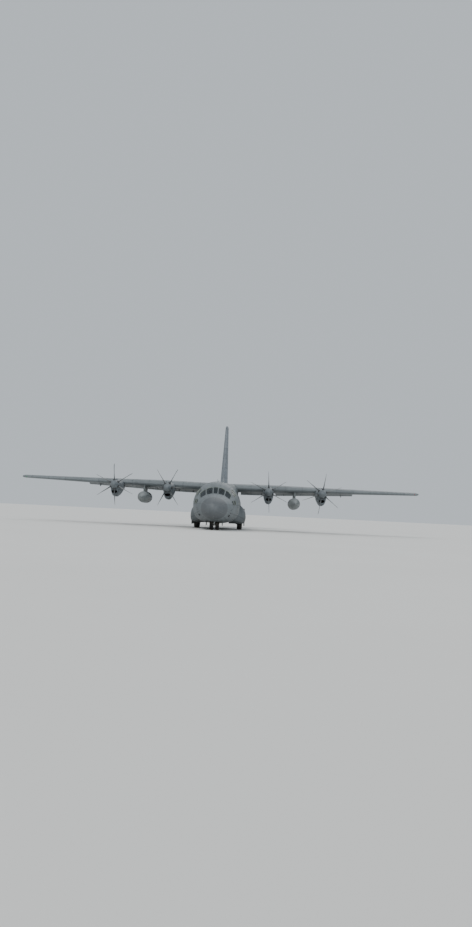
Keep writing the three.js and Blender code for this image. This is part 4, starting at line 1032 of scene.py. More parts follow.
def fin_loft():
    top = (HEIGHT - FIN.root_z) / FIN.tall
    tips = [(top - reach / FIN.tall, shrink) for reach, shrink in rounded_end(FIN.tip_round)]
    rings = []
    for share, shrink in [(0, 1), (0.5, 1)] + tips:
        def spot(across, s, z=FIN.root_z + share * FIN.tall):
            return place(across, s, z)

        rings.append(tail_ring(FIN, share, spot, 0, shrink))
    return skin(rings)


def wicks(start, end, count):
    """Thin rods that stand back from a trailing edge."""
    feet = [start.lerp(end, (i + 0.5) / count) for i in range(count)]
    return [rod(foot - BACK * 0.02, foot + Vector((0, 0.09, -0.004)), 0.007, sides=6, index=SECOND)
            for foot in feet]


def hinged_panel(whole, line, radii):
    """A control surface cut from a wing or tail, with a rounded nose about its hinge.

    It gives the surface, the room that its parent leaves for it, and the hinge pins.
    """
    start, end = line
    past = (end - start).normalized() * 0.3 * SCALE

    def region(room, extra):
        nose = rod(start - past, end + past, radii[0] + room, radii[1] + room, 40)
        return added(line_block(start, end, extra, 0), trimmed(nose, line_block(start, end, extra, 1)))

    pins, holes = hinge_pins(start, end, 0.09)
    panel = cut(trimmed(whole, region(0, 0)), *holes)
    return largest(panel), region(HINGE_ROOM, RUNNING_GAP), pins


# Tail


def tail_surfaces():
    whole = stabiliser = stabiliser_loft()
    fixed_pins = []
    for side, sign in SIDES:
        def span_place(x, root, tip):
            """A place on a line that runs from a station at the root to one at the tip."""
            return place(x * sign, between(root, tip, x / STABILISER.half), STABILISER.z)

        line = [span_place(x, ELEVATOR.root_hinge, ELEVATOR.tip_hinge)
                for x in (ELEVATOR.start, ELEVATOR.end)]
        panel, room, pins = hinged_panel(whole, line, ELEVATOR.radii)
        stabiliser = cut(stabiliser, room)
        fixed_pins += pins
        ends = [span_place(x, STABILISER.root[1], STABILISER.tip[1]) for x in ELEVATOR.wicks]
        piece(f"elevator_skin_{side}", (stabiliser_paint, dark_fitting), panel, *wicks(*ends, 4),
              body=f"elevator_{side}", stands_for=f"elevator_{side}", whole=whole)
    piece("stabiliser_skin", (stabiliser_paint,), stabiliser, *fixed_pins, stands_for="stabiliser",
          whole=whole)

    fin = fin_loft()
    line = [place(0, RUDDER.low_hinge, RUDDER.low), place(0, RUDDER.high_hinge, RUDDER.high)]
    radii = [RUDDER.radius - RUDDER.taper * (z - FIN.root_z) / FIN.tall for z in (RUDDER.low, RUDDER.high)]
    panel, room, pins = hinged_panel(fin, line, radii)
    ends = [place(0, between(FIN.root[1], FIN.tip[1], (z - FIN.root_z) / FIN.tall), z) for z in RUDDER.wicks]
    piece("rudder_skin", (tail_paint, dark_fitting), panel, *wicks(*ends, 4), body="rudder",
          stands_for="rudder", whole=fin)
    body = cut(fin, fuselage_loft(18, LENGTH, -SEAT_GAP), stabiliser_loft(SEAT_GAP), room)
    piece("fin_skin", (tail_paint,), largest(body), *pins, dorsal_fillet(), stands_for="fin", whole=fin)


def dorsal_fillet():
    """The curved fillet ahead of the fin, with a rounded top edge that widens into the fuselage."""
    rings, sunk = [], 0.08
    for s in even_steps(*DORSAL.ends, 30):
        at, foot = DORSAL(s), FUSELAGE(s).top - sunk
        ring = []
        for angle in even_steps(0, pi, 16):
            up = max(0.0, sin(angle)) ** 0.55
            flare = 1 + 1.3 * (1 - up) ** 3
            across = cos(angle) * at.half * flare * (1 - 0.5 * up ** 4)
            ring.append(place(across, s, foot + up * (at.rise + sunk)))
        rings.append(ring)
    return skin(rings)


# Wing


def aileron(side, sign, whole):
    """Cuts an aileron from an outer wing; gives the wing that is left, and the hinge pins."""
    ends = (AILERON.start, AILERON.end)
    radii = [half_thickness(AILERON.share, wing_at(x).thick) * wing_at(x).chord * AILERON.nose for x in ends]
    panel, room, pins = hinged_panel(whole, [wing_place(x * sign, AILERON.share) for x in ends], radii)
    wick_ends = [wing_place(x * sign, 1) for x in AILERON.wicks]
    piece(f"aileron_skin_{side}", (wing_paint, dark_fitting), panel, *wicks(*wick_ends, 5),
          body=f"aileron_{side}", stands_for=f"aileron_{side}", whole=whole)
    return cut(whole, room), pins


def hinge_plate(pivot, along, outline, near, far):
    """A flat arm or bracket square to a flap's axis."""
    back = (BACK - along * along.y).normalized()
    up = back.cross(along) * -copysign(1, along.x)
    return prism(outline, lambda a, b, c: pivot + (back * a + up * b + along * c) * SCALE, near, far)


def wing_flap(flap, side, sign, wing, whole):
    """Cuts a flap from a wing and lowers it; gives the wing that is left, and the flap's brackets."""
    line = [wing_place(x * sign, FLAP.share) for x in (flap.start, flap.end)]
    panel = trimmed(wing, line_block(*line, 0, 0))
    for depth in (FLAP.bevel_depth, -FLAP.bevel_depth):
        corners = ((-0.01, 0), (FLAP.bevel, depth), (-0.01, depth))
        panel = cut(panel, skin([[wing_place(x * sign, FLAP.share + more, height) for more, height in corners]
                                 for x in (flap.start - 0.1, flap.end + 0.1)]))
    pivots = [wing_place(x * sign, FLAP.pivot_share, -FLAP.pivot_drop) for x in flap.arms]
    along = (pivots[1] - pivots[0]).normalized()
    arms, brackets = [], []
    for pivot in pivots:
        eye = rod(pivot - along * 0.05, pivot + along * 0.05, PIN_HOLE)
        arms.append(cut(hinge_plate(pivot, along, ARM, -FLAP.arm_half, FLAP.arm_half), eye))
        near = FLAP.arm_half + RUNNING_GAP
        brackets.append(hinge_plate(pivot, along, BRACKET, near, near + 0.03))
        brackets.append(rod(pivot - along * 0.009, pivot + along * 0.025, PIN))
    drop = Matrix.Translation(pivots[0]) @ Matrix.Rotation(radians(FLAP.rest), 4, along * -sign) \
        @ Matrix.Translation(-pivots[0])
    body = f"{flap.name}_{side}"
    piece(f"{flap.name}_skin_{side}", (wing_paint,), moved(joined(largest(panel), *arms), drop), body=body,
          stands_for=body, whole=moved(whole, drop))
    return cut(wing, line_block(*line, FLAP.end_gap, RUNNING_GAP)), brackets


def wing_surfaces():
    centre = wing_loft([(WING.kink * share * WING.seated, 1) for share in (-1, -0.5, 0, 0.5, 1)])
    wholes, wings, fittings = {"centre": centre}, {"centre": centre}, {"centre": []}
    for side, sign in SIDES:
        stations = [(WING.kink + SEAT_GAP + (WING.half - WING.kink) * i / 12, 1) for i in range(12)]
        stations += [(WING.half - reach, shrink) for reach, shrink in rounded_end(WING.tip_round)]
        wholes[side] = wing_loft([(x * sign, shrink) for x, shrink in stations])
        wings[side], fittings[side] = aileron(side, sign, wholes[side])
    for flap in FLAPS:
        for side, sign in SIDES:
            owner = "centre" if flap.name == "inner_flap" else side
            wings[owner], brackets = wing_flap(flap, side, sign, wings[owner], wholes[owner])
            fittings[owner] += brackets
    for owner, wing in wings.items():
        piece(f"wing_skin_{owner}", (wing_paint,), wing, *fittings[owner], stands_for=f"wing_{owner}",
              whole=wholes[owner])


# Engines, propellers and tanks


def nacelle_ring(s, x, z, share=1.0):
    """The section of an engine's cowl at a station, shrunk to a share of itself."""
    at = NACELLE(s)
    ring = []
    for i in range(COWL.sides):
        across, up, low = oval(TURN * i / COWL.sides, at.full)
        ring.append(place(x + across * at.half * share, s, z + up * (at.down if low else at.up) * share))
    return ring


def intake_ring(s, x, z, grow):
    """The wide, smiling mouth under the spinner."""
    ring = []
    for a, b in circle(32):
        across = signed_power(a, 0.7) * (INTAKE.half + grow)
        up = signed_power(b, 0.8) * (INTAKE.rise + grow)
        ring.append(place(x + across, s, z - INTAKE.drop + up + 0.5 * across * across))
    return ring


def intake_loft(rows, x, z, index=PAINT, round_trip=False):
    return skin([intake_ring(s, x, z, grow) for s, grow in rows], index, round_trip)


def engines():
    for side, sign in SIDES:
        wing = engine_wing(sign)
        for spot, distance, z in ENGINES:
            x, name = distance * sign, f"{side}_{spot}"
            rings = [nacelle_ring(COWL.front, x, z, 0.9), nacelle_ring(COWL.front + 0.01, x, z, 0.96)]
            rings += [nacelle_ring(s, x, z) for s in (*even_steps(8.79, 14.39, 26), COWL.back)]
            whole = skin(rings)
            # The intake mouth and the exhaust bore are lined with near-black: painted shade in the intake,
            # soot in the exhaust.
            mouth = intake_loft(INTAKE.mouth, x, z, INSIDE)
            outlet = turned(place(x, 14.0, z - 0.1), EXHAUST.way, EXHAUST.bore, 32, INSIDE)
            shaft = rod(place(x, PROPELLER.s + 0.12, z), place(x, 9, z), PROPELLER.shaft, sides=24)
            body = largest(cut(whole, mouth, outlet, wing))
            piece(f"nacelle_skin_{name}", (nacelle_paint, soot_black), body, shaft,
                  stands_for=f"nacelle_{name}", whole=whole)
            nacelle_fittings(name, x, z)
            propeller(name, x, z)


def nacelle_fittings(name, x, z):
    """Intake lip, exhaust pipe, latches, drains and a cooling flap of one engine."""
    def bottom(s):
        return z - NACELLE(s).down

    def scoop(rows, foot, index=PAINT):
        """A loft over rings of a station, a half width and a rise; foot gives the height they stand at."""
        return skin([[place(x + 0.02 + width * a, s, foot(s) + rise * (0.5 + 0.5 * b)) for a, b in circle(20)]
                     for s, width, rise in rows], index)

    lip = intake_loft(INTAKE.lip, x, z, round_trip=True)
    pipe_end = turned(place(x, 14.12, z - 0.107), EXHAUST.way, EXHAUST.pipe, 36, THIRD, True)
    root, edge = bottom(11.6), bottom(12.05)
    flap = prism(((11.6, root + 0.02), (11.6, root - 0.004), (12.05, edge - 0.07), (12.06, edge - 0.055),
                  (12.0, bottom(12.0) - 0.03), (11.75, root + 0.05)), seen_from_side, *about(x, 0.16))
    drains = [rod(place(x + off, s, bottom(s) + 0.05), place(x + off, s + 0.05, bottom(s) - 0.07), 0.014,
                  sides=10, index=SECOND) for off, s in ((-0.12, 12.6), (0.12, 12.6), (0, 12.9))]
    bands = []
    for s in COWL.bands:
        rings = [nacelle_ring(s + offset, x, z, 1 + grow / NACELLE(s + offset).half)
                 for offset, grow in ((-0.016, -0.004), (-0.01, 0.005), (0.01, 0.005), (0.016, -0.004))]
        bands.append(skin(list(zip(*rings)), round_trip=True))
    latches = []
    for s in COWL.latches:
        for side in (-1, 1):
            spot = x + side * NACELLE(s).half * 0.995
            latches.append(soft_block((spot - side * 0.02, spot + side * 0.008), about(s, 0.045),
                                      (z - 0.33, z - 0.29), 0.006, SECOND))
    hood = scoop(((9.5, 0.07, 0.11), (9.52, 0.085, 0.13), (9.7, 0.085, 0.12), (10.1, 0.05, 0.05)),
                 lambda s: z + NACELLE(s).up - 0.04)
    # The scoop's mouth is lined with the dark fitting colour: painted shade inside the opening.
    mouth = scoop(((9.4, 0.06, 0.08), (9.62, 0.05, 0.06)), lambda s: z + NACELLE(9.5).up - 0.02, INSIDE)
    piece(f"nacelle_fittings_{name}", (nacelle_paint, dark_fitting, hot_steel), lip, pipe_end, flap, *drains,
          *bands, *latches, cut(hood, mouth))


def blade_mesh():
    """One feathered blade standing up from the hub, with its leading edge forward."""
    rings = []
    for i in range(35):
        r = min(PROPELLER.radius, between(PROPELLER.root, PROPELLER.radius, sin(pi / 2 * i / 34) ** 0.8))
        at = BLADE(min(r, 1.9))
        tip = max(0.0, (r - PROPELLER.round_from) / (PROPELLER.radius - PROPELLER.round_from)) ** 2.6
        chord, thick = at.chord * sqrt(max(0.02, 1 - tip)), at.thick * sqrt(max(0.1, 1 - tip))
        twist = Matrix.Rotation(radians(at.twist), 3, "Z")
        ring = []
        for a, b in circle(20):
            flat = twist @ Vector((b * thick / 2 * (1 - 0.35 * a), a * chord / 2, 0))
            ring.append(Vector((flat.x, flat.y + BLADE(r).sweep, r)) * SCALE)
        rings.append(ring)
    return skin(rings)


def propeller(name, x, z):
    hub = place(x, PROPELLER.s, z)
    base = PROPELLER.tip - PROPELLER.s
    outline = [(back, SPINNER(back).radius) for back in (0.9 * (i / 20) ** 1.6 for i in range(21))]
    bore = rod(hub + BACK * 0.1 * SCALE, hub + BACK * 0.55 * SCALE, PROPELLER.shaft + 0.0024, sides=24)
    spinner = cut(turned(hub + BACK * base * SCALE, BACK, outline, 56), bore)
    blade = blade_mesh()
    cuff = turned(UP * 0.34 * SCALE, UP, ((0, 0.13), (0.1, 0.12), (0.13, 0.1), (0.16, 0.09)), 24, SECOND)
    bolt_foot, bolt_top = (Vector((0, base + 0.845, reach)) * SCALE for reach in (0.42, 0.433))
    bolt = rod(bolt_foot, bolt_top, 0.008, sides=8, index=SECOND)

    def round_hub(share):
        return Matrix.Translation(hub) @ Matrix.Rotation(radians(BLADE_ANGLES[name]) + TURN * share, 4, "Y")

    turns = [round_hub(i / PROPELLER.blades) for i in range(PROPELLER.blades)]
    blades = [moved(mesh, turn) for turn in turns for mesh in (blade, cuff)]
    piece(f"blades_{name}", (blade_composite, dark_fitting), *blades, body=f"propeller_{name}", slot="blade",
          stands_for=f"propeller_{name}")
    seams = [turned(hub + BACK * (base + back) * SCALE, BACK,
                    ((0, radius), (0.004, radius + 0.004), (0.012, radius + 0.005), (0.016, radius)), 56)
             for back, radius in ((0.52, 0.39), (0.86, 0.426))]
    bolts = [moved(bolt, round_hub((i + 0.5) / PROPELLER.bolts)) for i in range(PROPELLER.bolts)]
    piece(f"spinner_{name}", (spinner_paint, dark_fitting), spinner, *seams, *bolts, body=f"propeller_{name}",
          slot="blade")


def fuel_tanks():
    length = TANK.end - TANK.start
    for side, sign in SIDES:
        x = TANK.x * sign
        profile = [(length * i / 60, TANK_SHAPE(i / 60).radius * TANK.radius) for i in range(61)]
        body = turned(place(x, TANK.start, TANK.z), BACK, profile, TANK.sides)
        bands = []
        for share in (0.1, 0.3, 0.46, 0.64, 0.84):
            radius = TANK_SHAPE(share).radius * TANK.radius
            bands.append(turned(place(x, TANK.start + length * share, TANK.z), BACK,
                                ((0, radius - 0.01), (0.004, radius + 0.006), (0.05, radius + 0.006),
                                 (0.054, radius - 0.01)), TANK.sides))
        rings = []
        foot = (TANK.z + 0.3, PYLON.start + 0.2, PYLON.end - 0.3)
        for z, nose, tail in (foot, (PYLON.top, PYLON.start, PYLON.end)):
            ring = []
            for a, b in circle(36):
                back = 0.5 - 0.5 * a
                width = signed_power(b, 0.7) * (1 - 0.35 * back)
                ring.append(place(x + width * PYLON.half, between(nose, tail, back), z))
            rings.append(ring)
        pylon = cut(skin(rings), engine_wing(sign))
        cap = turned(place(x + 0.2 * sign, 12.9, TANK.z + 0.52), Vector((0.3 * sign, 0, 1)),
                     ((0, 0.08), (0.03, 0.08), (0.034, 0.07)), 24)
        piece(f"tank_skin_{side}", (tank_paint, fitting_paint), body, *bands, largest(pylon), cap,
              stands_for=f"fuel_tank_{side}", crease=38)


# Undercarriage


def smooth_corners(points, rounds=3):
    """Cuts the corners of an open outline again and again, and keeps its ends."""
    for _ in range(rounds):
        cut_points = [points[0]]
        for a, b in zip(points, points[1:]):
            for near in (0.8, 0.2):
                cut_points.append(tuple(near * p + (1 - near) * q for p, q in zip(a, b)))
        points = (*cut_points, points[-1])
    return points


def sponsons():
    outline = smooth_corners(SPONSON)
    near, far = MAIN_WELL.far - 0.02, MAIN_WELL.far + 0.03
    start, end, low, high = MAIN_WELL.start + 0.1, MAIN_WELL.end - 0.1, 0.36, 0.9
    for side, sign in SIDES:
        rings = []
        for s in even_steps(*SPONSON_SHARE.ends, 48):
            share = SPONSON_SHARE(s).share
            rings.append([place(between(SPONSON_CORE.x, x, share) * sign, s,
                                between(SPONSON_CORE.z, z, 0.35 + 0.65 * share)) for x, z in outline])
        whole = skin(rings)
        body = cut(whole, main_well(sign, 1, MAIN_WELL.far), fuselage_loft(9, 17, -SEAT_GAP))
        door = soft_block((near * sign, far * sign), (start, end), (low, high), 0.02)
        ribs = []
        for share in (0.04, 0.27, 0.5, 0.73, 0.96):
            s = between(start, end, share)
            ribs.append(soft_block(((near - 0.035) * sign, (near + 0.01) * sign), about(s, 0.03),
                                   (low + 0.04, high - 0.02), 0.01, WELL))
        piece(f"sponson_skin_{side}", (skin_paint, cabin_paint, well_paint), largest(body), door, *ribs,
              stands_for=f"sponson_{side}", whole=whole)


def wheel_meshes(wheel, bore, grooves):
    """A tyre with grooves round its tread, and a rim with holes, bolts and a hub; the axle lies along X."""
    half, radius = wheel.width / 2, wheel.radius
    rim = radius * 0.47

    def mirrored(profile):
        return [(-along, reach) for along, reach in reversed(profile)]

    def across(share):
        return PORT * share * half * SCALE

    crown = [(-half * 0.8, rim + SEAT_GAP), (-half * 0.9, rim + 0.035), (-half * 0.985, radius * 0.62),
             (-half, radius * 0.72), (-half * 0.97, radius * 0.82), (-half * 0.88, radius * 0.92),
             (-half * 0.72, radius * 0.975)]
    tread = [(-half * 0.56, radius * 0.997)]
    for i in range(grooves):
        centre = -half * 0.45 + half * 0.9 * i / (grooves - 1)
        tread += [(centre - 0.009, radius), (centre - 0.007, radius - 0.014),
                  (centre + 0.007, radius - 0.014), (centre + 0.009, radius)]
    tread.append((half * 0.56, radius * 0.997))
    tyre = turned(Vector(), PORT, crown + tread + mirrored(crown), 72, round_trip=True)
    dish = [(-half * 0.8, rim), (-half * 0.74, rim * 0.93), (-half * 0.42, rim * 0.86),
            (-half * 0.36, rim * 0.6), (-half * 0.5, rim * 0.44), (-half * 0.72, rim * 0.4),
            (-half * 0.76, rim * 0.36), (-half * 0.76, bore)]
    hub = turned(Vector(), PORT, dish + mirrored(dish), 60, round_trip=True)
    holes, bolts = [], []
    for a, b in circle(9):
        centre = Vector((0, a, b)) * rim * 0.72 * SCALE
        holes.append(rod(centre + across(-1), centre + across(1), rim * 0.085, index=SECOND))
    for a, b in circle(9, 0.5):
        centre = Vector((0, a, b)) * rim * 0.66 * SCALE
        bolts += [rod(centre + across(sign * 0.3), centre + across(sign * 0.46), 0.014, sides=6, index=SECOND)
                  for sign in (-1, 1)]
    return tyre, joined(cut(hub, *holes), *bolts)


def main_gear():
    tyre, rim = wheel_meshes(MAIN_WHEEL, 0.062, 5)
    axle = MAIN_WHEEL.radius
    front, rear = (s for _, s in MAIN_WHEEL.stations)
    for side, sign in SIDES:
        def leg(s, z, off=0.0):
            return place((LEG_X + off) * sign, s, z)

        parts = []
        for spot, s in MAIN_WHEEL.stations:
            body = f"main_wheel_{side}_{spot}"
            shift = Matrix.Translation(place(MAIN_WHEEL.x * sign, s, axle))
            piece(f"tyre_{side}_{spot}", (tyre_rubber,), moved(tyre, shift), body=body, slot="tyre",
                  stands_for=f"main_tyre_{side}_{spot}")
            piece(f"rim_{side}_{spot}", (wheel_paint, steel), moved(rim, shift), body=body, slot="rim",
                  stands_for=f"main_rim_{side}_{spot}")
            hose = [leg(s - 0.1 - 0.05 * sin(pi * i / 12), 0.85 + 0.72 * i / 12, 0.03) for i in range(13)]
            foot = rounded_rod(leg(s, axle - 0.12), leg(s, axle + 0.2), 0.1, 28)
            strut = rod(leg(s, 0.86), leg(s, 1.24), 0.07, sides=28, index=SECOND)
            cylinder = rounded_rod(leg(s, 1.1), leg(s, MAIN_WELL.top - SEAT_GAP), 0.095, 28)
            stub = rod(leg(s, axle, -0.05), place(2.4 * sign, s, axle), 0.06, sides=24, index=SECOND)
            brake = turned(leg(s, axle, 0.02), PORT * sign, BRAKE, 32, THIRD)
            parts += [foot, strut, cylinder, stub, brake, pipe(hose, 0.012, index=THIRD)]
        beam = ((LEG_X - 0.05) * sign, (LEG_X + 0.04) * sign)
        parts.append(soft_block(beam, (front, rear), (1.2, 1.34), 0.02))
        parts += [rod(leg(s, 0.78), leg((front + rear) / 2, 1.24), 0.03) for s in (front + 0.05, rear - 0.05)]
        piece(f"main_leg_fittings_{side}", (leg_paint, chrome, dark_fitting), *parts, slot="gear_metal",
              stands_for=f"main_leg_{side}")


def nose_gear():
    def leg(z):
        return place(0, NOSE_WHEEL.s, z)

    def axle(x):
        return place(x, NOSE_WHEEL.s, NOSE_WHEEL.radius)

    tyre, rim = wheel_meshes(NOSE_WHEEL, 0.02, 4)
    rims = []
    for side, sign in SIDES:
        shift = Matrix.Translation(axle(NOSE_WHEEL.x * sign))
        piece(f"nose_tyre_rubber_{side}", (tyre_rubber,), moved(tyre, shift), body="nose_wheels", slot="tyre",
              stands_for=f"nose_tyre_{side}")
        rims.append(moved(rim, shift))
    piece("nose_rims", (wheel_paint, steel), *rims, rod(axle(-0.42), axle(0.42), 0.05, sides=24),
          body="nose_wheels", slot="rim", stands_for="nose_wheel_rims")
    eye = cut(rod(axle(-0.085), axle(0.085), 0.1, sides=32), rod(axle(-0.1), axle(0.1), 0.052, sides=24))
    link = rod(place(0, NOSE_WHEEL.s + 0.08, 0.58), place(0, NOSE_WHEEL.s + 0.2, 0.71), 0.022)
    strut = rod(leg(NOSE_WHEEL.radius + 0.06), leg(1.2), 0.064, sides=28, index=SECOND)
    piece("nose_fork_fittings", (leg_paint, chrome), eye, link, strut, body="nose_steering",
          slot="gear_metal", stands_for="nose_fork")
    nose_leg_fittings(leg)
    near, far = NOSE_WELL.half + 0.01, NOSE_WELL.half + 0.04
    stations = (NOSE_WELL.start + 0.03, NOSE_WELL.end - 0.03)
    for side, sign in SIDES:
        leaf = cut(block((near * sign, far * sign), stations, (0.42, 1.2)), fuselage_loft(2, 5, -SEAT_GAP))
        rib = ((near - 0.03) * sign, (near + 0.006) * sign)
        ribs = [soft_block(rib, about(s, 0.02), (0.46, 0.7), 0.008, SECOND) for s in (2.9, 3.25, 3.6, 3.95)]
        piece(f"nose_door_leaf_{side}", (skin_paint, well_paint), largest(leaf), *ribs,
              stands_for=f"nose_gear_door_{side}")


def nose_leg_fittings(leg):
    """The fixed nose leg with its collar, brace, hose and two lamps; leg gives a place at a height."""
    top = NOSE_WELL.top - SEAT_GAP
    bottom, bore_top, s = leg(0.8), leg(1.22), NOSE_WHEEL.s
    cylinder = cut(rounded_rod(leg(0.86), leg(top), 0.1, 32), rod(bottom, bore_top, 0.067, sides=28))
    collar = cut(rounded_rod(leg(1.02), leg(1.1), 0.13, 32), rod(bottom, bore_top, 0.099, sides=28))
    brace = rod(leg(1.08), place(0, NOSE_WELL.start + 0.1, top - 0.06), 0.04)
    lamps = []
    for x in (NOSE_LAMP.x, -NOSE_LAMP.x):
        case = turned(place(x, s - 0.14, NOSE_LAMP.z), -BACK, NOSE_LAMP.case, 24, SECOND)
        arm = rod(place(copysign(0.08, x), s, NOSE_LAMP.z), place(x, s - 0.08, NOSE_LAMP.z), 0.016)
        lens = turned(place(x, s - 0.155, NOSE_LAMP.z), -BACK, NOSE_LAMP.lens, 24, THIRD)
        lamps += [case, arm, lens]
    hose = [place(0.08 + 0.05 * sin(pi * i / 12), s + 0.08, 1.04 + 0.4 * i / 12) for i in range(13)]
    piece("nose_leg_fittings", (leg_paint, dark_fitting, clear_lens), cylinder, collar, brace, *lamps,
          pipe(hose, 0.01, index=SECOND), slot="gear_metal", stands_for="nose_leg")


# Nose and cabin
SEAT_X = 0.62


def radome():
    strips = []
    for angle in (radians(degrees) for degrees in range(30, 360, 60)):
        rings = []
        for s in even_steps(STRIP.start, STRIP.end, 14):
            width = STRIP.half / FUSELAGE(s).half
            rings.append([skin_place(s, angle + width * share, inset) for share, inset in STRIP.section])
        strips.append(skin(rings, SECOND))
    shell = fuselage_loft(0.001, RADOME_END - SEAT_GAP)
    for face in shell.polygons:
        if face.center.y > place(0, RADOME_PAINTED, 0).y:
            face.material_index = THIRD
    piece("radome_shell", (radome_paint, fitting_paint, skin_paint), shell, *strips, slot="radome",
          stands_for="nose_radome")


def cockpit_windows():
    rows = list(mirrored_windows())
    panes = [skin_pane(window_outline(*row, 0.004), 0.03, 0.052) for row in rows]
    rims = [skin_rim(window_outline(*row, 0.002), window_outline(*row, 0.05), 0.007, 0.03) for row in rows]
    piece("window_panes", (cockpit_glazing,), *panes, slot="glazing", stands_for="cockpit_glass")
    piece("window_frames", (fitting_paint,), *rims)


def cushion(foot, across, along, rise, below):
    """A crowned cushion with sewn channels and a welt; below is the share of its rise under the welt."""
    def spot(u, v, height):
        pull = 1 - 0.07 * (1 - (v if abs(u) > abs(v) else u) ** 2)
        return tuple(place(*(foot + across * u * pull + along * v * pull + rise * height)))

    count, channels = 25, (-0.36, 0, 0.36)
    shares = [sin(pi / 2 * (2 * i / (count - 1) - 1)) for i in range(count)]
    points, faces, numbers = [], [], {}
    for under in (False, True):
        for i, u in enumerate(shares):
            for k, v in enumerate(shares):
                if under and (i in (0, count - 1) or k in (0, count - 1)):
                    numbers[True, i, k] = numbers[False, i, k]
                    continue
                crown = ((1 - u ** 4) * (1 - v ** 4)) ** 0.45
                channel = sum(exp(-((u - middle) / 0.06) ** 2) for middle in channels) * 0.14
                numbers[under, i, k] = len(points)
                height = below * (1 - crown) if under else below + crown * (1 - channel) * (1 - below)
                points.append(spot(u, v, height))
        for i in range(count - 1):
            for k in range(count - 1):
                faces.append([numbers[under, i + a, k + b] for a, b in ((0, 0), (0, 1), (1, 1), (1, 0))])
    edge = [(-1, v) for v in shares[:-1]] + [(u, 1) for u in shares[:-1]]
    edge += [(-u, -v) for u, v in edge] + edge[:1]
    return closed_mesh(points, faces), pipe([Vector(spot(u, v, below)) for u, v in edge], 0.009)


def bulkhead_door(start):
    """The doorway between the flight deck and the hold."""
    return block((-BULKHEAD.door_half, BULKHEAD.door_half), (start, 6), (HOLD.floor, BULKHEAD.door_head))


def flight_deck():
    room, bottom = hollow(CAVITY.start, DECK.room_end, LINING), 0.9
    floor, bay, wall, sill = (trimmed(block((-OUT, OUT), stations, heights), room) for stations, heights in (
        ((2.35, BULKHEAD.end), (DECK.low, DECK.top)),
        ((2.1, 3.85), (bottom, DECK.low)),
        ((BULKHEAD.start, BULKHEAD.end), (bottom, 4.6)),
        ((4.3, BULKHEAD.start), (bottom, HOLD.floor - 0.01))))
    stairwell = block((0.75, OUT), (3.9, 5.2), (1.04, 2.2))
    racks = [soft_block((x, x + 0.5), (5.0, 5.2), (DECK.top + 0.02, 3.4), 0.02, SECOND) for x in (-1.2, 0.7)]
    floor, wall = cut(floor, stairwell, bulkhead_door(BULKHEAD.end)), cut(wall, bulkhead_door(5))
    piece("flight_deck_floor", (cabin_paint, dark_fitting), floor, bay, wall, sill, *racks, slot="interior",
          stands_for="flight_deck")
    console = [soft_block(about(0, half), stations, heights, edge, SECOND)
               for half, stations, heights, edge in (
                   (0.18, (2.5, 3.3), (DECK.top, 2.62), 0.02),
                   (1.05, (2.44, 2.56), (DECK.top, 2.8), 0.02),
                   (1.08, (2.4, 2.66), (2.8, 2.84), 0.015))]
    screens = [soft_block(about(x, 0.11), (2.555, 2.57), (2.42, 2.68), 0.005, THIRD)
               for x in (-0.86, -0.6, -0.26, 0.26, 0.6, 0.86)]
    levers = [rod(place(x, 2.9, 2.6), place(x, 2.84, 2.74), 0.012, index=SECOND)
              for x in (-0.09, -0.03, 0.03, 0.09)]
    frames = [part for _, sign in SIDES for part in seat_frame(SEAT_X * sign)]
    piece("cockpit_controls", (fitting_paint, dark_fitting, porthole_glazing), *frames, *console, *screens,
          *levers, slot="seat", stands_for="cockpit_fittings")
    cushions = [part for _, sign in SIDES for part in seat_cushions(SEAT_X * sign)]
    made = piece("flight_seat_cushions", (seat_cloth,), *cushions, slot="seat", crease=60)


def seat_frame(x):
    """One seat's pedestal, back, arm rests and headrest posts, and the control column before it."""
    arms = [soft_block(about(x + side, 0.03), (3.1, 3.5), (2.66, 2.72), 0.015) for side in (-0.3, 0.3)]
    posts = [rod(place(x + side, 3.515, 3.08), place(x + side, 3.515, 3.2), 0.012, index=SECOND)
             for side in (-0.06, 0.06)]
    pedestal = soft_block(about(x, 0.2), (3.05, 3.4), (DECK.top, 2.4), 0.02)
    back = soft_block(about(x, 0.27), (3.5, 3.57), (2.42, 3.12), 0.03)
    column = rod(place(x, 2.66, DECK.top), place(x, 2.78, 2.66), 0.025, index=SECOND)
    grip = rod(place(x - 0.15, 2.78, 2.7), place(x + 0.15, 2.78, 2.7), 0.02, index=SECOND)
    return [pedestal, back, *arms, *posts, column, grip]


def seat_cushions(x):
    """The seat, back and headrest cushions of one seat."""
    return [*cushion(Vector((x, 3.2, 2.42)), PORT * 0.26, BACK * 0.24, UP * 0.11, 0.25),
            *cushion(Vector((x, 3.5, 2.84)), PORT * 0.24, UP * 0.27, BACK * -0.1, 0.25),
            *cushion(Vector((x, 3.51, 3.22)), PORT * 0.14, UP * 0.1, BACK * -0.08, 0.5)]


def cargo_hold():
    slab = block(about(0, RAMP.half), (HOLD.start, HOLD.end), (0.9, HOLD.floor))
    floor = trimmed(slab, hollow(4, 19, LINING))
    rails = [soft_block(about(x, 0.04), (5.5, HOLD.end - 0.1), (HOLD.floor, HOLD.floor + 0.03), 0.008, SECOND)
             for x in (-1.25, -0.62, 0.62, 1.25)]
    piece("hold_floor", (deck_paint, steel), floor, *rails, slot="interior", stands_for="cargo_floor")
    angles = even_steps(-22, 202, 24)
    arches = [skin_frame(5.9 + 0.5 * i, 0.02, SKIN, 0.17, angles) for i in range(24)]
    piece("hold_frames", (cabin_paint,), *arches, slot="interior")


# Small outside fittings


def blade_aerial(s, degrees, height, chord):
    """A swept blade aerial that stands on the skin."""
    foot, out = skin_foot(s, radians(degrees), 0.02)
    side = BACK.cross(out).normalized()
    rings = []
    for share in even_steps(0, 1, 6):
        length = chord * (1 - 0.45 * share)
        rings.append([foot + (out * height * share + BACK * (0.4 * chord * share + a * length / 2)
                              + side * b * chord * 0.06) * SCALE for a, b in circle(16)])
    return skin(rings)


def eased(share):
    """A share from 0 to 1 that starts and ends softly."""
    share = min(1.0, share)
    return share * share * (3 - 2 * share)


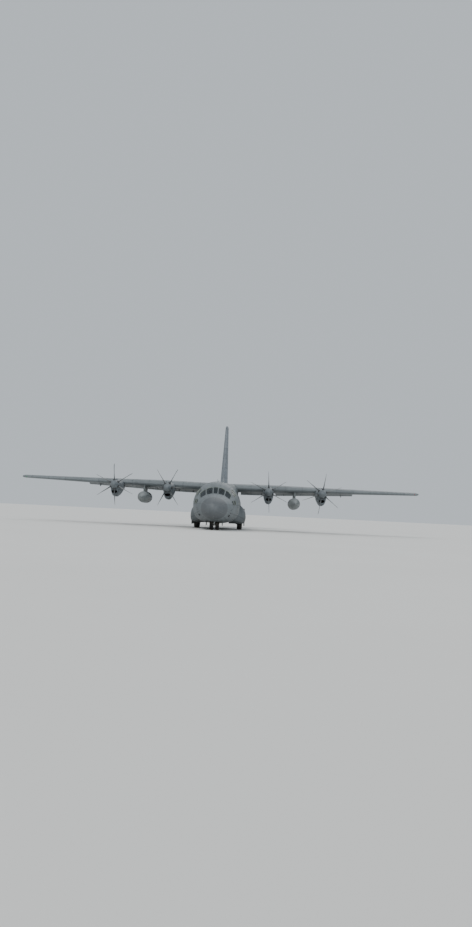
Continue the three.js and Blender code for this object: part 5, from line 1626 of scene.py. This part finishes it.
def root_fairing():
    """The rounded fairing over the joint of the wing and the fuselage."""
    rings = []
    angles, sunk = range(-60, 61, 4), 0.02
    for s in even_steps(FAIRED.start, FAIRED.end, 36):
        swell = eased((s - FAIRED.start) / FAIRED.ahead) * eased((FAIRED.end - s) / FAIRED.behind)
        outer = [skin_place(s, radians(90 - angle), sunk - (sunk + FAIRING(abs(angle)).rise) * swell)
                 for angle in angles]
        rings.append(outer + [skin_place(s, radians(90 - angle), 0.06) for angle in reversed(angles)])
    piece("wing_root_fairing", (skin_paint,), skin(rings), crease=50)


def dome(s, degrees, radius, height, index=PAINT):
    """A low dome on the skin."""
    root, out = skin_foot(s, radians(degrees), 0.01)
    steps = [(height * sin(angle), radius * cos(angle)) for angle in even_steps(0, pi / 2, 8)]
    return turned(root, out, [(-0.02, radius), *steps], 28, index)


def skin_fittings():
    domes = [dome(9.0, 90, 0.36, 0.12), dome(19.2, 90, 0.2, 0.1), dome(7.2, -90, 0.24, 0.09)]
    for low, high in ((-32, -38), (212, 218)):
        domes += [dome(2.06, low, 0.12, 0.1, SECOND), dome(5.0, high, 0.09, 0.05)]
    hatches = [skin_rim(window_outline(*row), window_outline(*row, 0.02), 0.004, 0.01) for row in
               ((4.6, 5.3, 80, 100), (8.0, 8.9, 118, 136), (15.7, 16.4, 50, 66), (6.9, 7.8, -30, -12),
                (6.9, 7.8, 192, 210))]
    piece("skin_domes", (skin_paint, dark_fitting), *domes, *hatches)
    strips = [skin_pane(window_outline(*row), -0.006, 0.01) for row in
              ((5.0, 5.9, 4, 7.5), (5.0, 5.9, 172.5, 176), (19.0, 20.0, -4, -1), (19.0, 20.0, 181, 184))]
    piece("strip_covers", (strip_cover,), *strips, slot="glazing")
    slats = [soft_block((2.735, 2.79), about(s, 0.02), (1.15, 1.42), 0.008)
             for s in (11.7 + 0.07 * i for i in range(9))]
    vent = turned(place(2.45, 15.2, 2.0), Vector((1, 0.4, 0.5)),
                  ((0, 0.12), (0.16, 0.11), (0.165, 0.09), (0.02, 0.085)), 28, SECOND, True)
    piece("service_fittings", (fitting_paint, hot_steel), *slats, vent)


def outside_fittings():
    """Aerials, pitot tubes, air data probes and wipers."""
    parts = [blade_aerial(*row) for row in (
        (6.4, 90, 0.3, 0.34), (8.2, 90, 0.22, 0.26), (9.7, 90, 0.3, 0.34), (18.2, 90, 0.26, 0.3),
        (6.2, -90, 0.22, 0.28), (8.0, -90, 0.2, 0.28), (16.6, -90, 0.22, 0.28))]
    for _, sign in SIDES:
        def beside(degrees):
            return radians(degrees if sign > 0 else 180 - degrees)

        for degrees, s in ((-8, 1.98), (-20, 2.02)):
            root, out = skin_foot(s, beside(degrees), 0.01)
            bend = root + out * 0.1 * SCALE
            tube = [root, root + out * 0.05 * SCALE, bend - BACK * 0.03 * SCALE, bend - BACK * 0.2 * SCALE]
            parts.append(pipe(tube, 0.016, 10, SECOND))
        root, out = skin_foot(2.2, beside(-4), 0.005)
        parts.append(rod(root, root + out * 0.03 * SCALE, 0.045, sides=20, index=SECOND))
    for sign in (-1, 1):
        foot, tip = radians(90 - sign * 6), radians(90 - sign * 22)
        arm = [skin_place(s, angle, -0.012) for s, angle in
               zip(even_steps(2.36, 2.96, 8), even_steps(foot, tip, 8))]
        blade = [skin_place(s, tip + radians(sign * 3), -0.006) for s in even_steps(2.52, 2.98, 8)]
        parts += [pipe(arm, 0.011, 6, SECOND), pipe(blade, 0.012, 6, SECOND)]
    piece("outside_fittings", (fitting_paint, dark_fitting), *parts)


def portholes():
    panes, rims = [], []
    spots = [(s, degrees) for s in (6.5, 9.0, 15.4) for degrees in (26, 154)] + [(16.95, 12), (16.95, 168)]
    for s, degrees in spots:
        pane, inner, outer = porthole(s, radians(degrees), 0.15, 0.148, 0.19)
        panes.append(skin_pane(pane, -0.002, 0.02))
        rims.append(skin_rim(inner, outer, 0.01, 0.02))
    # The panes' near-opaque dark glass is painted shade of the dim hold behind them.
    piece("porthole_panes", (porthole_glazing,), *panes, slot="glazing")
    piece("porthole_rims", (fitting_paint,), *rims)


# Profiles of the lamps' lenses: distances out of the foot, and radii
LENSES = Sizes(
    wing_tip=((-0.1, 0.055), (0, 0.05), (0.03, 0.042), (0.045, 0.028), (0.055, 0.01)),
    fin=((0, 0.05), (0.04, 0.048), (0.07, 0.035), (0.09, 0.01)),
    belly=((-0.02, 0.08), (0.03, 0.07), (0.07, 0.045), (0.085, 0.01)),
    tail=((-0.03, 0.05), (0.04, 0.045), (0.08, 0.03), (0.095, 0.01)),
    landing=((0, 0.1), (0.01, 0.09), (0.016, 0.05)))


def lamps():
    tips = [turned(wing_place((WING.half - 0.5) * sign, 0.012), Vector((sign * 0.3, -1, 0)),
                   LENSES.wing_tip, 20) for _, sign in SIDES]
    beacon = place(0, 27.4, HEIGHT - 0.1)
    bases = [rod(beacon - UP * 0.06, beacon, 0.06, sides=24)]
    beacons = [turned(beacon, UP, LENSES.fin, 24),
               turned(skin_place(10.2, radians(-90)), -UP, LENSES.belly, 24)]
    clear = [turned(place(0, LENGTH - 0.1, 4.5), BACK, LENSES.tail, 20)]
    x, share = 8.6, 0.12
    for _, sign in SIDES:
        under = wing_place(x * sign, share, -half_thickness(share, wing_at(x).thick) * wing_at(x).chord)
        bases.append(rod(under + UP * 0.02, under - UP * 0.006, 0.12, sides=28))
        clear.append(turned(under - UP * 0.004, -UP, LENSES.landing, 28))
    piece("lamp_bases", (fitting_paint,), *bases)
    piece("red_lamps", (red_lens,), tips[0], *beacons, slot="glazing")
    piece("green_lamps", (green_lens,), tips[1], slot="glazing")
    piece("clear_lamps", (clear_lens,), *clear, slot="glazing")


# Camera and studio


VIEW = Sizes(lens=35.7, sensor=36, at=(1.75, -48.07, 0.79), yaw=radians(1.2), pitch=radians(3.13),
             roll=radians(2.73), far=4000)


def camera():
    """Stands in front of the nose, low down, and is slightly rolled."""
    lens = bpy.data.cameras.new("camera")
    lens.lens, lens.sensor_width, lens.clip_end = VIEW.lens, VIEW.sensor, VIEW.far
    made = in_scene("camera", lens)
    made.matrix_world = Matrix.Translation(VIEW.at) @ Matrix.Rotation(VIEW.yaw, 4, "Z") \
        @ Matrix.Rotation(pi / 2 + VIEW.pitch, 4, "X") @ Matrix.Rotation(VIEW.roll, 4, "Z")
    bpy.context.scene.camera = made


def studio():
    """A plain pale floor under soft light from above and the front left."""
    ground = Finish("studio_floor", Roughness=0.9, Specular_IOR_Level=0.1)
    ground.end(Base_Color=ground.mix(ground.noise(0.2, 3), rgb(214, 213, 210), rgb(222, 221, 218)))
    reach = 1500
    floor = in_scene("studio_floor", skin([[Vector((reach * a, reach * b, z)) for a, b in circle(64)]
                                           for z in (-0.5, 0)]))
    floor.data.materials.append(ground.material)
    world = bpy.data.worlds.new("studio")
    world.use_nodes = True
    sky = world.node_tree.nodes["Background"].inputs
    sky["Color"].default_value = (0.78, 0.85, 0.91, 1)
    sky["Strength"].default_value = 0.75
    bpy.context.scene.world = world
    for name, towards, spread, strength, colour in (
            ("key", (-0.45, -0.6, 1), 26, 1.15, (1, 0.97, 0.93)),
            ("fill", (0.3, -1, 0.16), 60, 1.6, (0.95, 0.98, 1)),
            ("back", (0.3, 1, 0.7), 45, 0.6, (1, 1, 1))):
        light = bpy.data.lights.new(name, "SUN")
        light.energy, light.angle, light.color = strength, radians(spread), colour
        in_scene(name, light).matrix_world = Vector(towards).to_track_quat("Z", "Y").to_matrix().to_4x4()


camera()
studio()
radome()
forward_section()
centre_section()
rear_section()
tail_surfaces()
wing_surfaces()
engines()
fuel_tanks()
sponsons()
main_gear()
nose_gear()
cockpit_windows()
flight_deck()
cargo_hold()
root_fairing()
skin_fittings()
outside_fittings()
portholes()
lamps()
